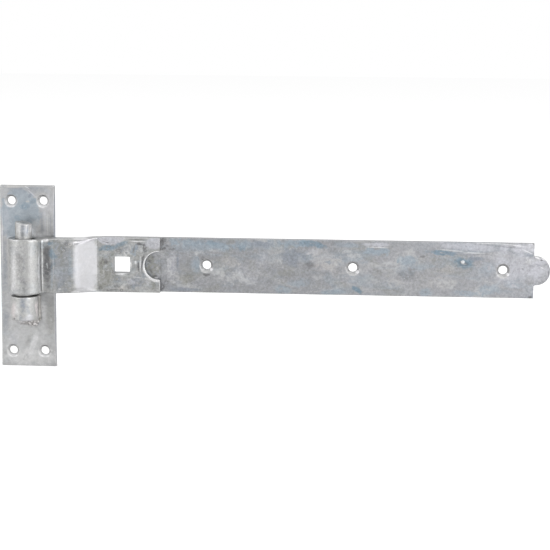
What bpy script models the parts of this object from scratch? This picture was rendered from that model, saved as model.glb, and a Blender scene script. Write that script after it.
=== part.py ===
"""A galvanised hook and band hinge for a gate or a heavy door.

The hook is a screwed plate with an upright pin on a welded boss. The band is one
flat bar, folded round the pin into an eye, cranked back into the plane of the plate
and bolted through both layers of the fold. Metres, +Z up, +X along the band, and
+Y into the post. The origin is the middle of the plate's back face.
"""

import math
from collections import namedtuple

import bmesh
import bpy
from mathutils import Vector

# The flat bar that the band is folded from
BAR_WIDTH = 0.040
BAR_THICKNESS = 0.005
BAR_EDGE_RADIUS = 0.0006
FOLD_GAP = 0.0003

# Hook plate
PLATE_WIDTH = 0.040
PLATE_HEIGHT = 0.1334
PLATE_THICKNESS = 0.005
PLATE_EDGE_RADIUS = 0.0005
PLATE_HOLE_FROM_SIDE = 0.00825
PLATE_HOLE_FROM_END = 0.0112
PLATE_HOLE_DIAMETER = 0.0062
PLATE_SINK_DIAMETER = 0.0093

# Hook pin and the boss that it stands on
PIN_DIAMETER = 0.012
PIN_LENGTH = 0.0537
PIN_CHAMFER = 0.0009
BOSS_DIAMETER = 0.020
BOSS_FOOT_WIDTH = 0.0145
BOSS_HEIGHT = 0.0176
BOSS_EDGE_RADIUS = 0.0007

# Weld that runs down both sides of the boss and under it
WELD_SIDE_LEG = 0.0018
WELD_FOOT_LEG = 0.0058
WELD_PITCH = 0.0027
WELD_RIPPLE_SHARE = 0.06
WELD_BULGE_SHARE = 0.4
WELD_END_RUN = 0.0018
WELD_END_SHARE = 0.3
WELD_STEPS_A_RIPPLE = 5
WELD_SECTION_STEPS = 6

# Small gaps between pieces that touch, and the eye's clearances
SEAT_GAP = 0.0003
EYE_CLEARANCE = 0.0005
EYE_LIFT = 0.0020
EYE_TO_PLATE = 0.002

# Where the band sits, and its bends
BAND_RISE = 0.0102
EYE_STRETCH = 0.0025
NECK_SETBACK = 0.0025
NECK_CREASE_RADIUS = 0.002
CRANK_START = 0.0330
CRANK_RUN = 0.0195
CRANK_OUTER_RADIUS = 0.013
CRANK_CREASE_RADIUS = 0.0015

# How far the edges of the bar's outer face draw in at each bend, how deep that goes
# into the bar's thickness, and how far along the bar it runs out
EYE_EDGE_DRAW = 0.0009
NECK_EDGE_DRAW = 0.0026
NECK_DRAW_RUNOUT = 0.006
CRANK_EDGE_DRAW = 0.0040
CRANK_DRAW_RUNOUT = 0.014
DRAW_DEPTH_SHARE = 0.7

# Where things lie along the band. A reach is measured from the pin's axis, and the
# middle one of the strap's three holes lies at a share of the way between the others.
SHOULDER_REACH = 0.3679
SQUARE_HOLE_FROM_CRANK = 0.0174
FOLD_END_FROM_SQUARE_HOLE = 0.0285
FIRST_HOLE_FROM_FOLD_END = 0.0331
LAST_HOLE_FROM_SHOULDER = 0.0221
MIDDLE_HOLE_SHARE = 0.4956

# Holes and cropped ends of the band
SQUARE_HOLE_SIDE = 0.0125
SQUARE_HOLE_CORNER = 0.0007
BAND_HOLE_DIAMETER = 0.0065
BAND_SINK_DIAMETER = 0.0103
TONGUE_RADIUS = 0.0103
TONGUE_CENTRE_OUT = 0.0013
TONGUE_ROOT_RADIUS = 0.0012

# Dressed weld that closes the fold along its top edge, from the crank's crease on
FOLD_WELD_LENGTH = 0.0190
FOLD_WELD_DEPTH = 0.0036
FOLD_WELD_PROUD = 0.0004
FOLD_WELD_EDGE_RADIUS = 0.0002

# Hot-dip galvanised finish of each piece: its colour and its roughness
PLATE_FINISH = ((0.52, 0.54, 0.56), 0.42)
PIN_FINISH = ((0.60, 0.60, 0.58), 0.38)
WELD_FINISH = ((0.58, 0.58, 0.57), 0.50)
BAND_FINISH = ((0.56, 0.57, 0.58), 0.40)

# One overrun for every cut, and the fineness of the round shapes
CUT_OVERRUN = 0.002
MERGE_DISTANCE = 0.000005
ARC_STEP = math.radians(7.5)
FEWEST_ARC_STEPS = 4
STRAIGHT_STEP = 0.0025
CORNER_STEPS = 3
PIN_STEPS = 48
HOLE_STEPS = 32
BEVEL_SEGMENTS = 2
SHARP_ANGLE = math.radians(35)
FLAT_ANGLE = math.radians(0.5)
RIGHT_ANGLE = math.pi / 2

# Places that follow from the sizes
PIN_STAND_OFF = PIN_DIAMETER / 2 + EYE_CLEARANCE + BAR_THICKNESS + EYE_TO_PLATE
PLATE_FRONT_Y = -PLATE_THICKNESS
PIN_Y = PLATE_FRONT_Y - PIN_STAND_OFF
BAND_TOP_Z = BAND_RISE + BAR_WIDTH / 2
BAND_BOTTOM_Z = BAND_RISE - BAR_WIDTH / 2
BOSS_TOP_Z = BAND_BOTTOM_Z - EYE_LIFT
BOSS_BOTTOM_Z = BOSS_TOP_Z - BOSS_HEIGHT
HALF_BAR = BAR_THICKNESS / 2
LAYER_PITCH = BAR_THICKNESS + FOLD_GAP
FLAT_FRONT_Y = -BAR_THICKNESS - LAYER_PITCH
CRANK_END = CRANK_START + CRANK_RUN
FOLD_WELD_REACH = CRANK_END + FOLD_WELD_LENGTH / 2
SQUARE_HOLE_REACH = CRANK_END + SQUARE_HOLE_FROM_CRANK
FOLD_END_REACH = SQUARE_HOLE_REACH + FOLD_END_FROM_SQUARE_HOLE
FIRST_HOLE_REACH = FOLD_END_REACH + FIRST_HOLE_FROM_FOLD_END
LAST_HOLE_REACH = SHOULDER_REACH - LAST_HOLE_FROM_SHOULDER
MIDDLE_HOLE_REACH = FIRST_HOLE_REACH + MIDDLE_HOLE_SHARE * (LAST_HOLE_REACH - FIRST_HOLE_REACH)
NECK_FRONT_Y = PIN_Y + NECK_SETBACK - FOLD_GAP / 2 - BAR_THICKNESS

# One bend of the bar: its centre in the XY plane, the radius of the bar's middle line,
# the angles between which it runs, and the draw and runout of the outer face's edges
Bend = namedtuple("Bend", "centre radius start end draw runout")
# One cross-section of the bar: where it is, which way the bar runs there, and the draw
Station = namedtuple("Station", "point heading draw")


def clear_scene():
    for old in list(bpy.data.objects):
        bpy.data.objects.remove(old, do_unlink=True)


def new_collection(name):
    collection = bpy.data.collections.new(name)
    bpy.context.scene.collection.children.link(collection)
    return collection


def zinc_material(name, finish):
    colour, roughness = finish
    material = bpy.data.materials.new(name)
    material.use_nodes = True
    shader = material.node_tree.nodes["Principled BSDF"]
    shader.inputs["Base Color"].default_value = (*colour, 1.0)
    shader.inputs["Metallic"].default_value = 1.0
    shader.inputs["Roughness"].default_value = roughness
    return material


def mesh_object(name, bm, collection):
    mesh = bpy.data.meshes.new(name)
    bm.to_mesh(mesh)
    bm.free()
    piece = bpy.data.objects.new(name, mesh)
    collection.objects.link(piece)
    return piece


def hide_as_cutter(piece):
    piece.hide_render = True
    piece.display_type = "WIRE"
    return piece


def smooth_shading_group():
    """Geometry nodes that shade every face smooth and keep each sharp edge sharp."""
    group = bpy.data.node_groups.new("smooth but for sharp edges", "GeometryNodeTree")
    for in_out in ("INPUT", "OUTPUT"):
        group.interface.new_socket("Geometry", in_out=in_out, socket_type="NodeSocketGeometry")
    begin = group.nodes.new("NodeGroupInput")
    faces = group.nodes.new("GeometryNodeSetShadeSmooth")
    edges = group.nodes.new("GeometryNodeSetShadeSmooth")
    edges.domain = "EDGE"
    angle = group.nodes.new("GeometryNodeInputMeshEdgeAngle")
    is_soft = group.nodes.new("FunctionNodeCompare")
    is_soft.operation = "LESS_THAN"
    is_soft.inputs["B"].default_value = SHARP_ANGLE
    end = group.nodes.new("NodeGroupOutput")
    group.links.new(begin.outputs["Geometry"], faces.inputs["Geometry"])
    group.links.new(faces.outputs["Geometry"], edges.inputs["Geometry"])
    group.links.new(angle.outputs["Unsigned Angle"], is_soft.inputs["A"])
    group.links.new(is_soft.outputs["Result"], edges.inputs["Shade Smooth"])
    group.links.new(edges.outputs["Geometry"], end.inputs["Geometry"])
    return group


def finish_piece(piece, material, shading):
    """Gives the piece its material, and shading that leaves its flat faces even."""
    piece.data.materials.clear()
    piece.data.materials.append(material)
    piece.modifiers.new("shading", "NODES").node_group = shading
    even = piece.modifiers.new("even flats", "WEIGHTED_NORMAL")
    even.keep_sharp = True


def add_boolean(piece, cutter, operation="DIFFERENCE"):
    modifier = piece.modifiers.new(f"{operation.lower()} {cutter.name}", "BOOLEAN")
    modifier.operation = operation
    modifier.object = cutter
    modifier.solver = "EXACT"


def add_bevel(piece, width):
    modifier = piece.modifiers.new("rounded edges", "BEVEL")
    modifier.width = width
    modifier.segments = BEVEL_SEGMENTS
    modifier.limit_method = "ANGLE"
    modifier.angle_limit = SHARP_ANGLE


def box_object(name, low, high, collection):
    """A box between two corners, with its origin at its middle."""
    bm = bmesh.new()
    bmesh.ops.create_cube(bm, size=1.0)
    bmesh.ops.scale(bm, vec=Vector(high) - Vector(low), verts=bm.verts)
    piece = mesh_object(name, bm, collection)
    piece.location = (Vector(low) + Vector(high)) / 2
    return piece


def turned_object(name, profile, steps, collection):
    """Turns a profile of (radius, height) points round Z. It runs from top to bottom."""
    bm = bmesh.new()
    points = [bm.verts.new((radius, 0, height)) for radius, height in profile]
    for upper, lower in zip(points, points[1:]):
        bm.edges.new((upper, lower))
    piece = mesh_object(name, bm, collection)
    screw = piece.modifiers.new("turned", "SCREW")
    screw.steps = steps
    screw.render_steps = steps
    screw.use_merge_vertices = True
    screw.merge_threshold = MERGE_DISTANCE
    return piece


def outline_object(name, outline, thickness, collection):
    """A flat piece from an outline in its own XY plane, half its thickness each way."""
    curve = bpy.data.curves.new(name, "CURVE")
    curve.dimensions = "2D"
    curve.fill_mode = "BOTH"
    curve.extrude = thickness / 2
    spline = curve.splines.new("POLY")
    spline.points.add(len(outline) - 1)
    for point, (x, y) in zip(spline.points, outline):
        point.co = (x, y, 0, 1)
    spline.use_cyclic_u = True
    shape = bpy.data.objects.new(name + "_outline", curve)
    collection.objects.link(shape)
    bpy.context.view_layer.update()
    graph = bpy.context.evaluated_depsgraph_get()
    mesh = bpy.data.meshes.new_from_object(shape.evaluated_get(graph))
    bpy.data.objects.remove(shape, do_unlink=True)
    bm = bmesh.new()
    bm.from_mesh(mesh)
    bpy.data.meshes.remove(mesh)
    bmesh.ops.remove_doubles(bm, verts=bm.verts, dist=MERGE_DISTANCE)
    bmesh.ops.dissolve_limit(bm, angle_limit=FLAT_ANGLE, verts=bm.verts, edges=bm.edges)
    bmesh.ops.recalc_face_normals(bm, faces=bm.faces)
    return mesh_object(name, bm, collection)


def loft_object(name, rings, collection):
    """A solid through rings of points, each with as many points as the next."""
    bm = bmesh.new()
    verts = [[bm.verts.new(point) for point in ring] for ring in rings]
    for near, far in zip(verts, verts[1:]):
        for index in range(len(near)):
            before = index - 1
            bm.faces.new((near[before], near[index], far[index], far[before]))
    bm.faces.new(verts[0])
    bm.faces.new(verts[-1])
    bmesh.ops.recalc_face_normals(bm, faces=bm.faces)
    return mesh_object(name, bm, collection)


def arc_points(centre, radius, start, end):
    """Points on an arc between two angles, both ends included."""
    steps = max(FEWEST_ARC_STEPS, math.ceil(abs(end - start) / ARC_STEP))
    turns = [start + (end - start) * step / steps for step in range(steps + 1)]
    return [centre + radius * Vector((math.cos(turn), math.sin(turn))) for turn in turns]


def front_facing(piece, x, y, z):
    """Turns the piece's own +Z to the front, -Y, and puts it in place."""
    piece.rotation_euler = (RIGHT_ANGLE, 0, 0)
    piece.location = (x, y, z)
    return piece


def add_screw_hole(piece, name, place, hole_diameter, sink_diameter, thickness, cutters):
    """Cuts a countersunk hole into a front face at the place (x, y, z) on that face."""
    hole = hole_diameter / 2
    sink = sink_diameter / 2
    profile = (
        (0, CUT_OVERRUN),
        (sink + CUT_OVERRUN, CUT_OVERRUN),
        (hole, hole - sink),
        (hole, -thickness - CUT_OVERRUN),
        (0, -thickness - CUT_OVERRUN),
    )
    cutter = hide_as_cutter(turned_object(name, profile, HOLE_STEPS, cutters))
    add_boolean(piece, front_facing(cutter, *place))


def build_hook_plate(parts, cutters, shading):
    """The back plate: flat bar with four countersunk screw holes."""
    plate = box_object(
        "hook_plate",
        (-PLATE_WIDTH / 2, PLATE_FRONT_Y, -PLATE_HEIGHT / 2),
        (PLATE_WIDTH / 2, 0, PLATE_HEIGHT / 2),
        parts,
    )
    add_bevel(plate, PLATE_EDGE_RADIUS)
    for across, x_sign in (("left", -1), ("right", 1)):
        for height, z_sign in (("low", -1), ("high", 1)):
            x = x_sign * (PLATE_WIDTH / 2 - PLATE_HOLE_FROM_SIDE)
            z = z_sign * (PLATE_HEIGHT / 2 - PLATE_HOLE_FROM_END)
            add_screw_hole(
                plate,
                f"plate_hole_{height}_{across}",
                (x, PLATE_FRONT_Y, z),
                PLATE_HOLE_DIAMETER,
                PLATE_SINK_DIAMETER,
                PLATE_THICKNESS,
                cutters,
            )
    finish_piece(plate, zinc_material("zinc_plate", PLATE_FINISH), shading)


def boss_flank_lean():
    """The angle at which the boss's flat sides, which touch its round, close in."""
    foot = Vector((BOSS_FOOT_WIDTH / 2, PIN_STAND_OFF - SEAT_GAP))
    return math.atan2(foot.y, foot.x) - math.acos(BOSS_DIAMETER / 2 / foot.length)


def build_hook_pin(parts, cutters, shading):
    """Pin and boss in one: the boss is round in front, with flat sides to the plate."""
    pin = PIN_DIAMETER / 2
    foot = BOSS_FOOT_WIDTH / 2
    back = PIN_STAND_OFF - SEAT_GAP
    lean = boss_flank_lean()
    middle_z = (BOSS_TOP_Z + BOSS_BOTTOM_Z) / 2
    outline = arc_points(Vector((0, 0)), BOSS_DIAMETER / 2, -math.pi - lean, lean)
    outline += [(foot, back), (-foot, back)]
    piece = outline_object("hook_pin", outline, BOSS_HEIGHT, parts)
    piece.location = (0, PIN_Y, middle_z)
    add_bevel(piece, BOSS_EDGE_RADIUS)
    top = PIN_LENGTH + BOSS_HEIGHT / 2
    profile = (
        (0, top),
        (pin - PIN_CHAMFER, top),
        (pin, top - PIN_CHAMFER),
        (pin, 0),
        (0, 0),
    )
    stem = hide_as_cutter(turned_object("pin_stem", profile, PIN_STEPS, cutters))
    stem.location = piece.location
    add_boolean(piece, stem, "UNION")
    finish_piece(piece, zinc_material("zinc_pin", PIN_FINISH), shading)


def weld_section(leg):
    """A fillet's section as (out from the boss, forward from the plate) points."""
    section = [Vector((0, 0))]
    for step in range(WELD_SECTION_STEPS + 1):
        share = step / WELD_SECTION_STEPS
        straight = Vector((1 - share, share))
        section.append(leg * straight.lerp(unit(share * RIGHT_ANGLE), WELD_BULGE_SHARE))
    return section


def weld_route():
    """The root of the weld round the boss's foot: (point, way out) pairs in XZ."""
    side = BOSS_FOOT_WIDTH / 2 - BOSS_EDGE_RADIUS
    left = Vector((-side, BOSS_BOTTOM_Z + BOSS_EDGE_RADIUS))
    right = Vector((side, BOSS_BOTTOM_Z + BOSS_EDGE_RADIUS))
    lead = Vector((0, BOSS_HEIGHT - 2 * BOSS_EDGE_RADIUS))
    rounding = BOSS_EDGE_RADIUS + SEAT_GAP
    corner_left = arc_points(left, rounding, math.pi, math.pi + RIGHT_ANGLE)
    corner_right = arc_points(right, rounding, -RIGHT_ANGLE, 0)
    route = [(corner_left[0] + lead, Vector((-1, 0)))]
    route += [(point, (point - left).normalized()) for point in corner_left]
    route += [(point, (point - right).normalized()) for point in corner_right]
    route.append((corner_right[-1] + lead, Vector((1, 0))))
    return route


def weld_ring(point, out, run, length):
    """One ring of the fillet, with its ripple, its wide foot and its tapered ends."""
    to_end = min(run, length - run)
    taper = math.sqrt(max(WELD_END_SHARE, min(1, to_end / WELD_END_RUN)))
    ripple = 1 + WELD_RIPPLE_SHARE * math.cos(math.tau * run / WELD_PITCH)
    leg = 1 / math.hypot(out.x / WELD_SIDE_LEG, out.y / WELD_FOOT_LEG)
    widening = math.tan(boss_flank_lean())
    ring = []
    for across, forward in weld_section(leg * ripple * taper):
        x = point.x + out.x * (across + forward * widening)
        ring.append((x, PLATE_FRONT_Y - SEAT_GAP - forward, point.y + out.y * across))
    return ring


def build_boss_weld(parts, shading):
    """The rippled fillet in the corner of boss and plate: down, across and up again."""
    route = weld_route()
    legs = list(zip(route, route[1:]))
    length = sum((end - start).length for (start, _), (end, _) in legs)
    rings = []
    run = 0
    for (start, out_start), (end, out_end) in legs:
        span = (end - start).length
        count = max(1, round(span * WELD_STEPS_A_RIPPLE / WELD_PITCH))
        for step in range(count):
            share = step / count
            point = start.lerp(end, share)
            rings.append(weld_ring(point, out_start.lerp(out_end, share), run + span * share, length))
        run += span
    rings.append(weld_ring(*route[-1], length, length))
    piece = loft_object("boss_weld", rings, parts)
    finish_piece(piece, zinc_material("zinc_weld", WELD_FINISH), shading)


def crank_angle(start, end, outer_radius, crease_radius):
    """The slope of the crank, which touches the bend at each of its ends."""
    across = end - start
    return math.asin((outer_radius + crease_radius) / across.length) - math.atan2(
        -across.y, across.x
    )


def band_bends():
    """The bar's bends, from the end of the front layer, round the pin, to the strap."""
    crease_centre = Vector((CRANK_END, FLAT_FRONT_Y - CRANK_CREASE_RADIUS))
    outer_centre = Vector((CRANK_START, NECK_FRONT_Y + CRANK_OUTER_RADIUS))
    slope = crank_angle(outer_centre, crease_centre, CRANK_OUTER_RADIUS, CRANK_CREASE_RADIUS)
    eye = PIN_DIAMETER / 2 + EYE_CLEARANCE + HALF_BAR
    left_centre = Vector((0, PIN_Y))
    right_centre = Vector((EYE_STRETCH, PIN_Y))
    crease = NECK_CREASE_RADIUS + HALF_BAR
    front_y = NECK_FRONT_Y + HALF_BAR - crease
    back_y = NECK_FRONT_Y + LAYER_PITCH + HALF_BAR + crease
    front_turn = math.asin((PIN_Y - front_y) / (eye + crease))
    back_turn = math.asin((back_y - PIN_Y) / (eye + crease))
    front_centre = right_centre + (eye + crease) * unit(-front_turn)
    back_centre = right_centre + (eye + crease) * unit(back_turn)
    crank = (CRANK_EDGE_DRAW, CRANK_DRAW_RUNOUT)
    neck = (NECK_EDGE_DRAW, NECK_DRAW_RUNOUT)
    round_eye = (EYE_EDGE_DRAW, NECK_DRAW_RUNOUT)
    plain = (BAR_EDGE_RADIUS, NECK_DRAW_RUNOUT)
    down = -RIGHT_ANGLE
    up = RIGHT_ANGLE
    outer = CRANK_OUTER_RADIUS - HALF_BAR
    inner = CRANK_CREASE_RADIUS + HALF_BAR
    return [
        Bend(crease_centre, inner, up, up + slope, *plain),
        Bend(outer_centre, outer, down + slope, down, *crank),
        Bend(front_centre, crease, up, math.pi - front_turn, *neck),
        Bend(right_centre, eye, -front_turn, down, *round_eye),
        Bend(left_centre, eye, down, down - math.pi, *round_eye),
        Bend(right_centre, eye, up, back_turn, *round_eye),
        Bend(back_centre, crease, math.pi + back_turn, math.pi + up, *neck),
        Bend(outer_centre, outer - LAYER_PITCH, down, down + slope, *plain),
        Bend(crease_centre, inner + LAYER_PITCH, up + slope, up, *crank),
    ]


def unit(turn):
    return Vector((math.cos(turn), math.sin(turn)))


def band_stations():
    """Cross-sections along the bar, close together only where it bends or draws in."""
    bends = band_bends()
    begin = Vector((FOLD_END_REACH + CUT_OVERRUN, FLAT_FRONT_Y + HALF_BAR))
    tip = SHOULDER_REACH + TONGUE_CENTRE_OUT + TONGUE_RADIUS + CUT_OVERRUN
    finish = Vector((tip, -HALF_BAR))
    arcs = [arc_points(bend.centre, bend.radius, bend.start, bend.end) for bend in bends]
    longest_runout = max(bend.runout for bend in bends)
    places = []
    spans = []
    run = 0
    previous = begin
    for bend, arc in zip(bends, arcs):
        straight = arc[0] - previous
        places += straight_places(previous, arc[0], run, longest_runout)
        run += straight.length
        start_run = run
        step = bend.radius * abs(bend.end - bend.start) / (len(arc) - 1)
        turn_sign = math.copysign(1, bend.end - bend.start)
        for index, point in enumerate(arc):
            radial = (point - bend.centre).normalized()
            heading = turn_sign * Vector((-radial.y, radial.x))
            places.append((point, heading, run + step * index))
        run += step * (len(arc) - 1)
        spans.append((start_run, run, bend.draw, bend.runout))
        previous = arc[-1]
    places += straight_places(previous, finish, run, longest_runout)
    places.append((finish, (finish - previous).normalized(), run + (finish - previous).length))
    return [Station(point, heading, edge_draw(at, spans)) for point, heading, at in places]


def straight_places(begin, end, run, runout):
    """Places along a straight, without its end points' bends: dense near both ends."""
    straight = end - begin
    if straight.length < STRAIGHT_STEP:
        return []
    heading = straight.normalized()
    count = math.ceil(straight.length / STRAIGHT_STEP)
    places = []
    for index in range(1, count):
        along = straight.length * index / count
        if min(along, straight.length - along) < runout + STRAIGHT_STEP:
            places.append((begin + heading * along, heading, run + along))
    return places


def edge_draw(at, spans):
    """The edge draw at a length along the bar: full in a bend, less and less beside it."""
    draw = BAR_EDGE_RADIUS
    for start, end, most, runout in spans:
        beside = max(start - at, at - end, 0)
        share = max(0, 1 - beside / runout)
        draw = max(draw, BAR_EDGE_RADIUS + (most - BAR_EDGE_RADIUS) * smooth(share))
    return draw


def smooth(share):
    return share * share * (3 - 2 * share)


def bar_ring(station):
    """The bar's section there: its outer face lies to the left of the way it runs."""
    left = Vector((-station.heading.y, station.heading.x))
    half_width = BAR_WIDTH / 2
    outer_depth = max(BAR_EDGE_RADIUS, station.draw * DRAW_DEPTH_SHARE)
    corners = (
        (1, 1, station.draw, outer_depth),
        (-1, 1, station.draw, outer_depth),
        (-1, -1, BAR_EDGE_RADIUS, BAR_EDGE_RADIUS),
        (1, -1, BAR_EDGE_RADIUS, BAR_EDGE_RADIUS),
    )
    ring = []
    for z_sign, side_sign, draw, depth in corners:
        turns = [RIGHT_ANGLE * step / CORNER_STEPS for step in range(CORNER_STEPS + 1)]
        if z_sign * side_sign < 0:
            turns.reverse()
        for turn in turns:
            z = z_sign * (half_width - draw * (1 - math.cos(turn)))
            side = side_sign * (HALF_BAR - depth * (1 - math.sin(turn)))
            flat = station.point + left * side
            ring.append((flat.x, flat.y, BAND_RISE + z))
    return ring


def end_cutter(name, reach, bulge, low_y, high_y, cutters):
    """Crops the bar at a reach. The cut bulges out round a tongue, or into a notch."""
    half = BAR_WIDTH / 2 + CUT_OVERRUN
    far = TONGUE_RADIUS + TONGUE_CENTRE_OUT + CUT_OVERRUN * 2
    root = TONGUE_ROOT_RADIUS
    root_height = math.sqrt((TONGUE_RADIUS + root) ** 2 - (root - TONGUE_CENTRE_OUT) ** 2)
    lean = math.asin((root - TONGUE_CENTRE_OUT) / (TONGUE_RADIUS + root))
    upper = arc_points(Vector((root, root_height)), root, math.pi, math.pi + RIGHT_ANGLE - lean)
    tongue = arc_points(
        Vector((TONGUE_CENTRE_OUT, 0)), TONGUE_RADIUS, RIGHT_ANGLE - lean, lean - RIGHT_ANGLE
    )
    lower = [Vector((point.x, -point.y)) for point in reversed(upper)]
    edge = upper + tongue[1:-1] + lower
    outline = [(reach + bulge * point.x, point.y) for point in edge]
    outline += [(reach + far, -half), (reach + far, half)]
    outline.insert(0, (reach, half))
    outline.insert(len(edge) + 1, (reach, -half))
    cutter = outline_object(name, outline, high_y - low_y, cutters)
    front_facing(cutter, 0, (low_y + high_y) / 2, BAND_RISE)
    return hide_as_cutter(cutter)


def bow(centre_x, z, chord, rise):
    """An arc over a chord of this half length, from its left end to its right one."""
    radius = (chord**2 + rise**2) / (2 * rise)
    lean = math.asin(chord / radius)
    centre = Vector((centre_x, z + rise - radius))
    return arc_points(centre, radius, RIGHT_ANGLE + lean, RIGHT_ANGLE - lean)


def fold_weld(cutters):
    """A dressed weld on the fold's top edge, lapping a little over the front face."""
    chord = FOLD_WELD_LENGTH / 2
    upper = bow(FOLD_WELD_REACH, 0, chord, FOLD_WELD_PROUD)
    lower = bow(FOLD_WELD_REACH, 0, chord, FOLD_WELD_DEPTH)
    outline = upper + [Vector((point.x, -point.y)) for point in reversed(lower[1:-1])]
    front = FLAT_FRONT_Y - FOLD_WELD_PROUD
    back = -HALF_BAR
    piece = outline_object("fold_weld", outline, back - front, cutters)
    front_facing(piece, 0, (front + back) / 2, BAND_TOP_Z)
    add_bevel(piece, FOLD_WELD_EDGE_RADIUS)
    return hide_as_cutter(piece)


def square_hole_cutter(cutters):
    """The square hole for a coach bolt's neck, through both layers."""
    half = SQUARE_HOLE_SIDE / 2
    corner = half - SQUARE_HOLE_CORNER
    outline = []
    for turn in range(4):
        start = turn * RIGHT_ANGLE
        diagonal = corner * math.sqrt(2) * unit(start + RIGHT_ANGLE / 2)
        outline += arc_points(diagonal, SQUARE_HOLE_CORNER, start, start + RIGHT_ANGLE)
    depth = 2 * (CUT_OVERRUN - FLAT_FRONT_Y)
    cutter = outline_object("square_hole", outline, depth, cutters)
    front_facing(cutter, SQUARE_HOLE_REACH, 0, BAND_RISE)
    return hide_as_cutter(cutter)


def build_band(parts, cutters, shading):
    """The band: one bar folded round the pin, cranked, pierced and cropped."""
    band = loft_object("band", [bar_ring(station) for station in band_stations()], parts)
    between_layers = -BAR_THICKNESS - FOLD_GAP / 2
    add_boolean(band, fold_weld(cutters), "UNION")
    front = FLAT_FRONT_Y - CUT_OVERRUN
    add_boolean(band, end_cutter("notch", FOLD_END_REACH, -1, front, between_layers, cutters))
    add_boolean(band, end_cutter("tongue", SHOULDER_REACH, 1, front, CUT_OVERRUN, cutters))
    add_boolean(band, square_hole_cutter(cutters))
    reaches = (FIRST_HOLE_REACH, MIDDLE_HOLE_REACH, LAST_HOLE_REACH)
    for number, reach in enumerate(reaches, start=1):
        add_screw_hole(
            band,
            f"band_hole_{number}",
            (reach, -BAR_THICKNESS, BAND_RISE),
            BAND_HOLE_DIAMETER,
            BAND_SINK_DIAMETER,
            BAR_THICKNESS,
            cutters,
        )
    axis = bpy.data.objects.new("pin_axis", None)
    parts.objects.link(axis)
    axis.location = (0, PIN_Y, BAND_RISE)
    bpy.context.view_layer.update()
    band.parent = axis
    band.matrix_parent_inverse = axis.matrix_world.inverted()
    finish_piece(band, zinc_material("zinc_band", BAND_FINISH), shading)


def main():
    clear_scene()
    parts = new_collection("hook_and_band_hinge")
    cutters = new_collection("cutters")
    shading = smooth_shading_group()
    build_hook_plate(parts, cutters, shading)
    build_hook_pin(parts, cutters, shading)
    build_boss_weld(parts, shading)
    build_band(parts, cutters, shading)


main()
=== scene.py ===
import math

import bmesh
import bpy
from mathutils import Matrix, Vector, noise


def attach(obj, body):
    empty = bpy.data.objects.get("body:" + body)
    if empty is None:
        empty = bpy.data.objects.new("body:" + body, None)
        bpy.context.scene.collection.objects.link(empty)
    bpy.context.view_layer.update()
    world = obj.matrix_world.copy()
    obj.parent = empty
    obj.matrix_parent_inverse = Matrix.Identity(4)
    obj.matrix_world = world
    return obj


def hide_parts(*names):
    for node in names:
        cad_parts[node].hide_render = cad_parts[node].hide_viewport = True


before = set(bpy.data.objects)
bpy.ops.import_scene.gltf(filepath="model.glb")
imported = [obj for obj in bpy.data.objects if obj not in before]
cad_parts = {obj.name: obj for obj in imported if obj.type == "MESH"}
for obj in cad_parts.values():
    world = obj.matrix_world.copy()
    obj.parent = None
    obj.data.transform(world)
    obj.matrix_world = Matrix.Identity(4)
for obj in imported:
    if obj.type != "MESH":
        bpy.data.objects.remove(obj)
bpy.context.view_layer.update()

MM_PER_METRE = 1000

# Fineness of the dressed pieces: lengths in metres, angles in radians
MERGE_DISTANCE = 0.000005
FLAT_ANGLE = math.radians(0.4)
RIM_ANGLE = math.radians(40)
SHARP_ANGLE = math.radians(38)
RIM_ROUNDING = 0.00022
CROP_ROUNDING = 0.0008
ROUNDING_STEPS = 3
GRID = 0.0012
FLAT_FACE_WEIGHT = 70

# A bend this sharp begins to count as a rim with a painted highlight, and over this span it
# comes to the full
RIM_HIGHLIGHT_FROM = math.radians(14)
RIM_HIGHLIGHT_SPAN = math.radians(22)

# Waves that the zinc leaves in a face, as length and height in metres, and where the
# noise that they are taken from is read
SKIN_WAVES = ((0.013, 0.00005), (0.0052, 0.000025), (0.0026, 0.000010))
PIN_WAVES = ((0.008, 0.00012), (0.003, 0.00007), (0.0012, 0.00003))
WELD_WAVES = ((0.004, 0.0002), (0.0018, 0.00008))
WAVE_SHIFT = Vector((7.3, 1.9, 4.1))

# The lump of zinc on the plate's lower right-hand corner, in metres
LUMP_CENTRE = (0.0205, -0.003, -0.0672)
LUMP_RADIUS = 0.0035
LUMP_PUSH = (0.0008, -0.0003, -0.0006)

# The notched end of the band's front layer is right of this x and before this y, in metres
NOTCHED_END_X = 0.080
NOTCHED_END_Y = -0.0100

# The strap's own skin starts right of this x, on faces behind this y, in metres
STRAP_START_X = 0.055
STRAP_START_Y = -0.0056

# Where the strap passes from one stretch of its skin to the next, and a place past its
# end, in mm along it, and how many times its own reach a ragged patch can show at
STRAP_MIDDLE = 230
STRAP_END = 400
RAGGED_SPILL = 1.6

# The pin's top, cut a little askew: its height, its slope, how far down the slope is
# shared out, where the slope is level, and the small waves in it, in metres
PIN_TOP = 0.0419
PIN_SLANT = 0.14
PIN_SLANT_REACH = 0.006
PIN_LEVEL_X = -0.001
PIN_TOP_WAVE = 0.0005
PIN_TOP_WAVES_PER_METRE = 300

# Voxels that the pin and the weld are made of anew, in metres, and their smoothing
PIN_VOXEL = 0.00035
PIN_SMOOTHING = 3
WELD_VOXEL = 0.0003
WELD_SMOOTHING = 12
WELD_SWELL = 0.00035

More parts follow.
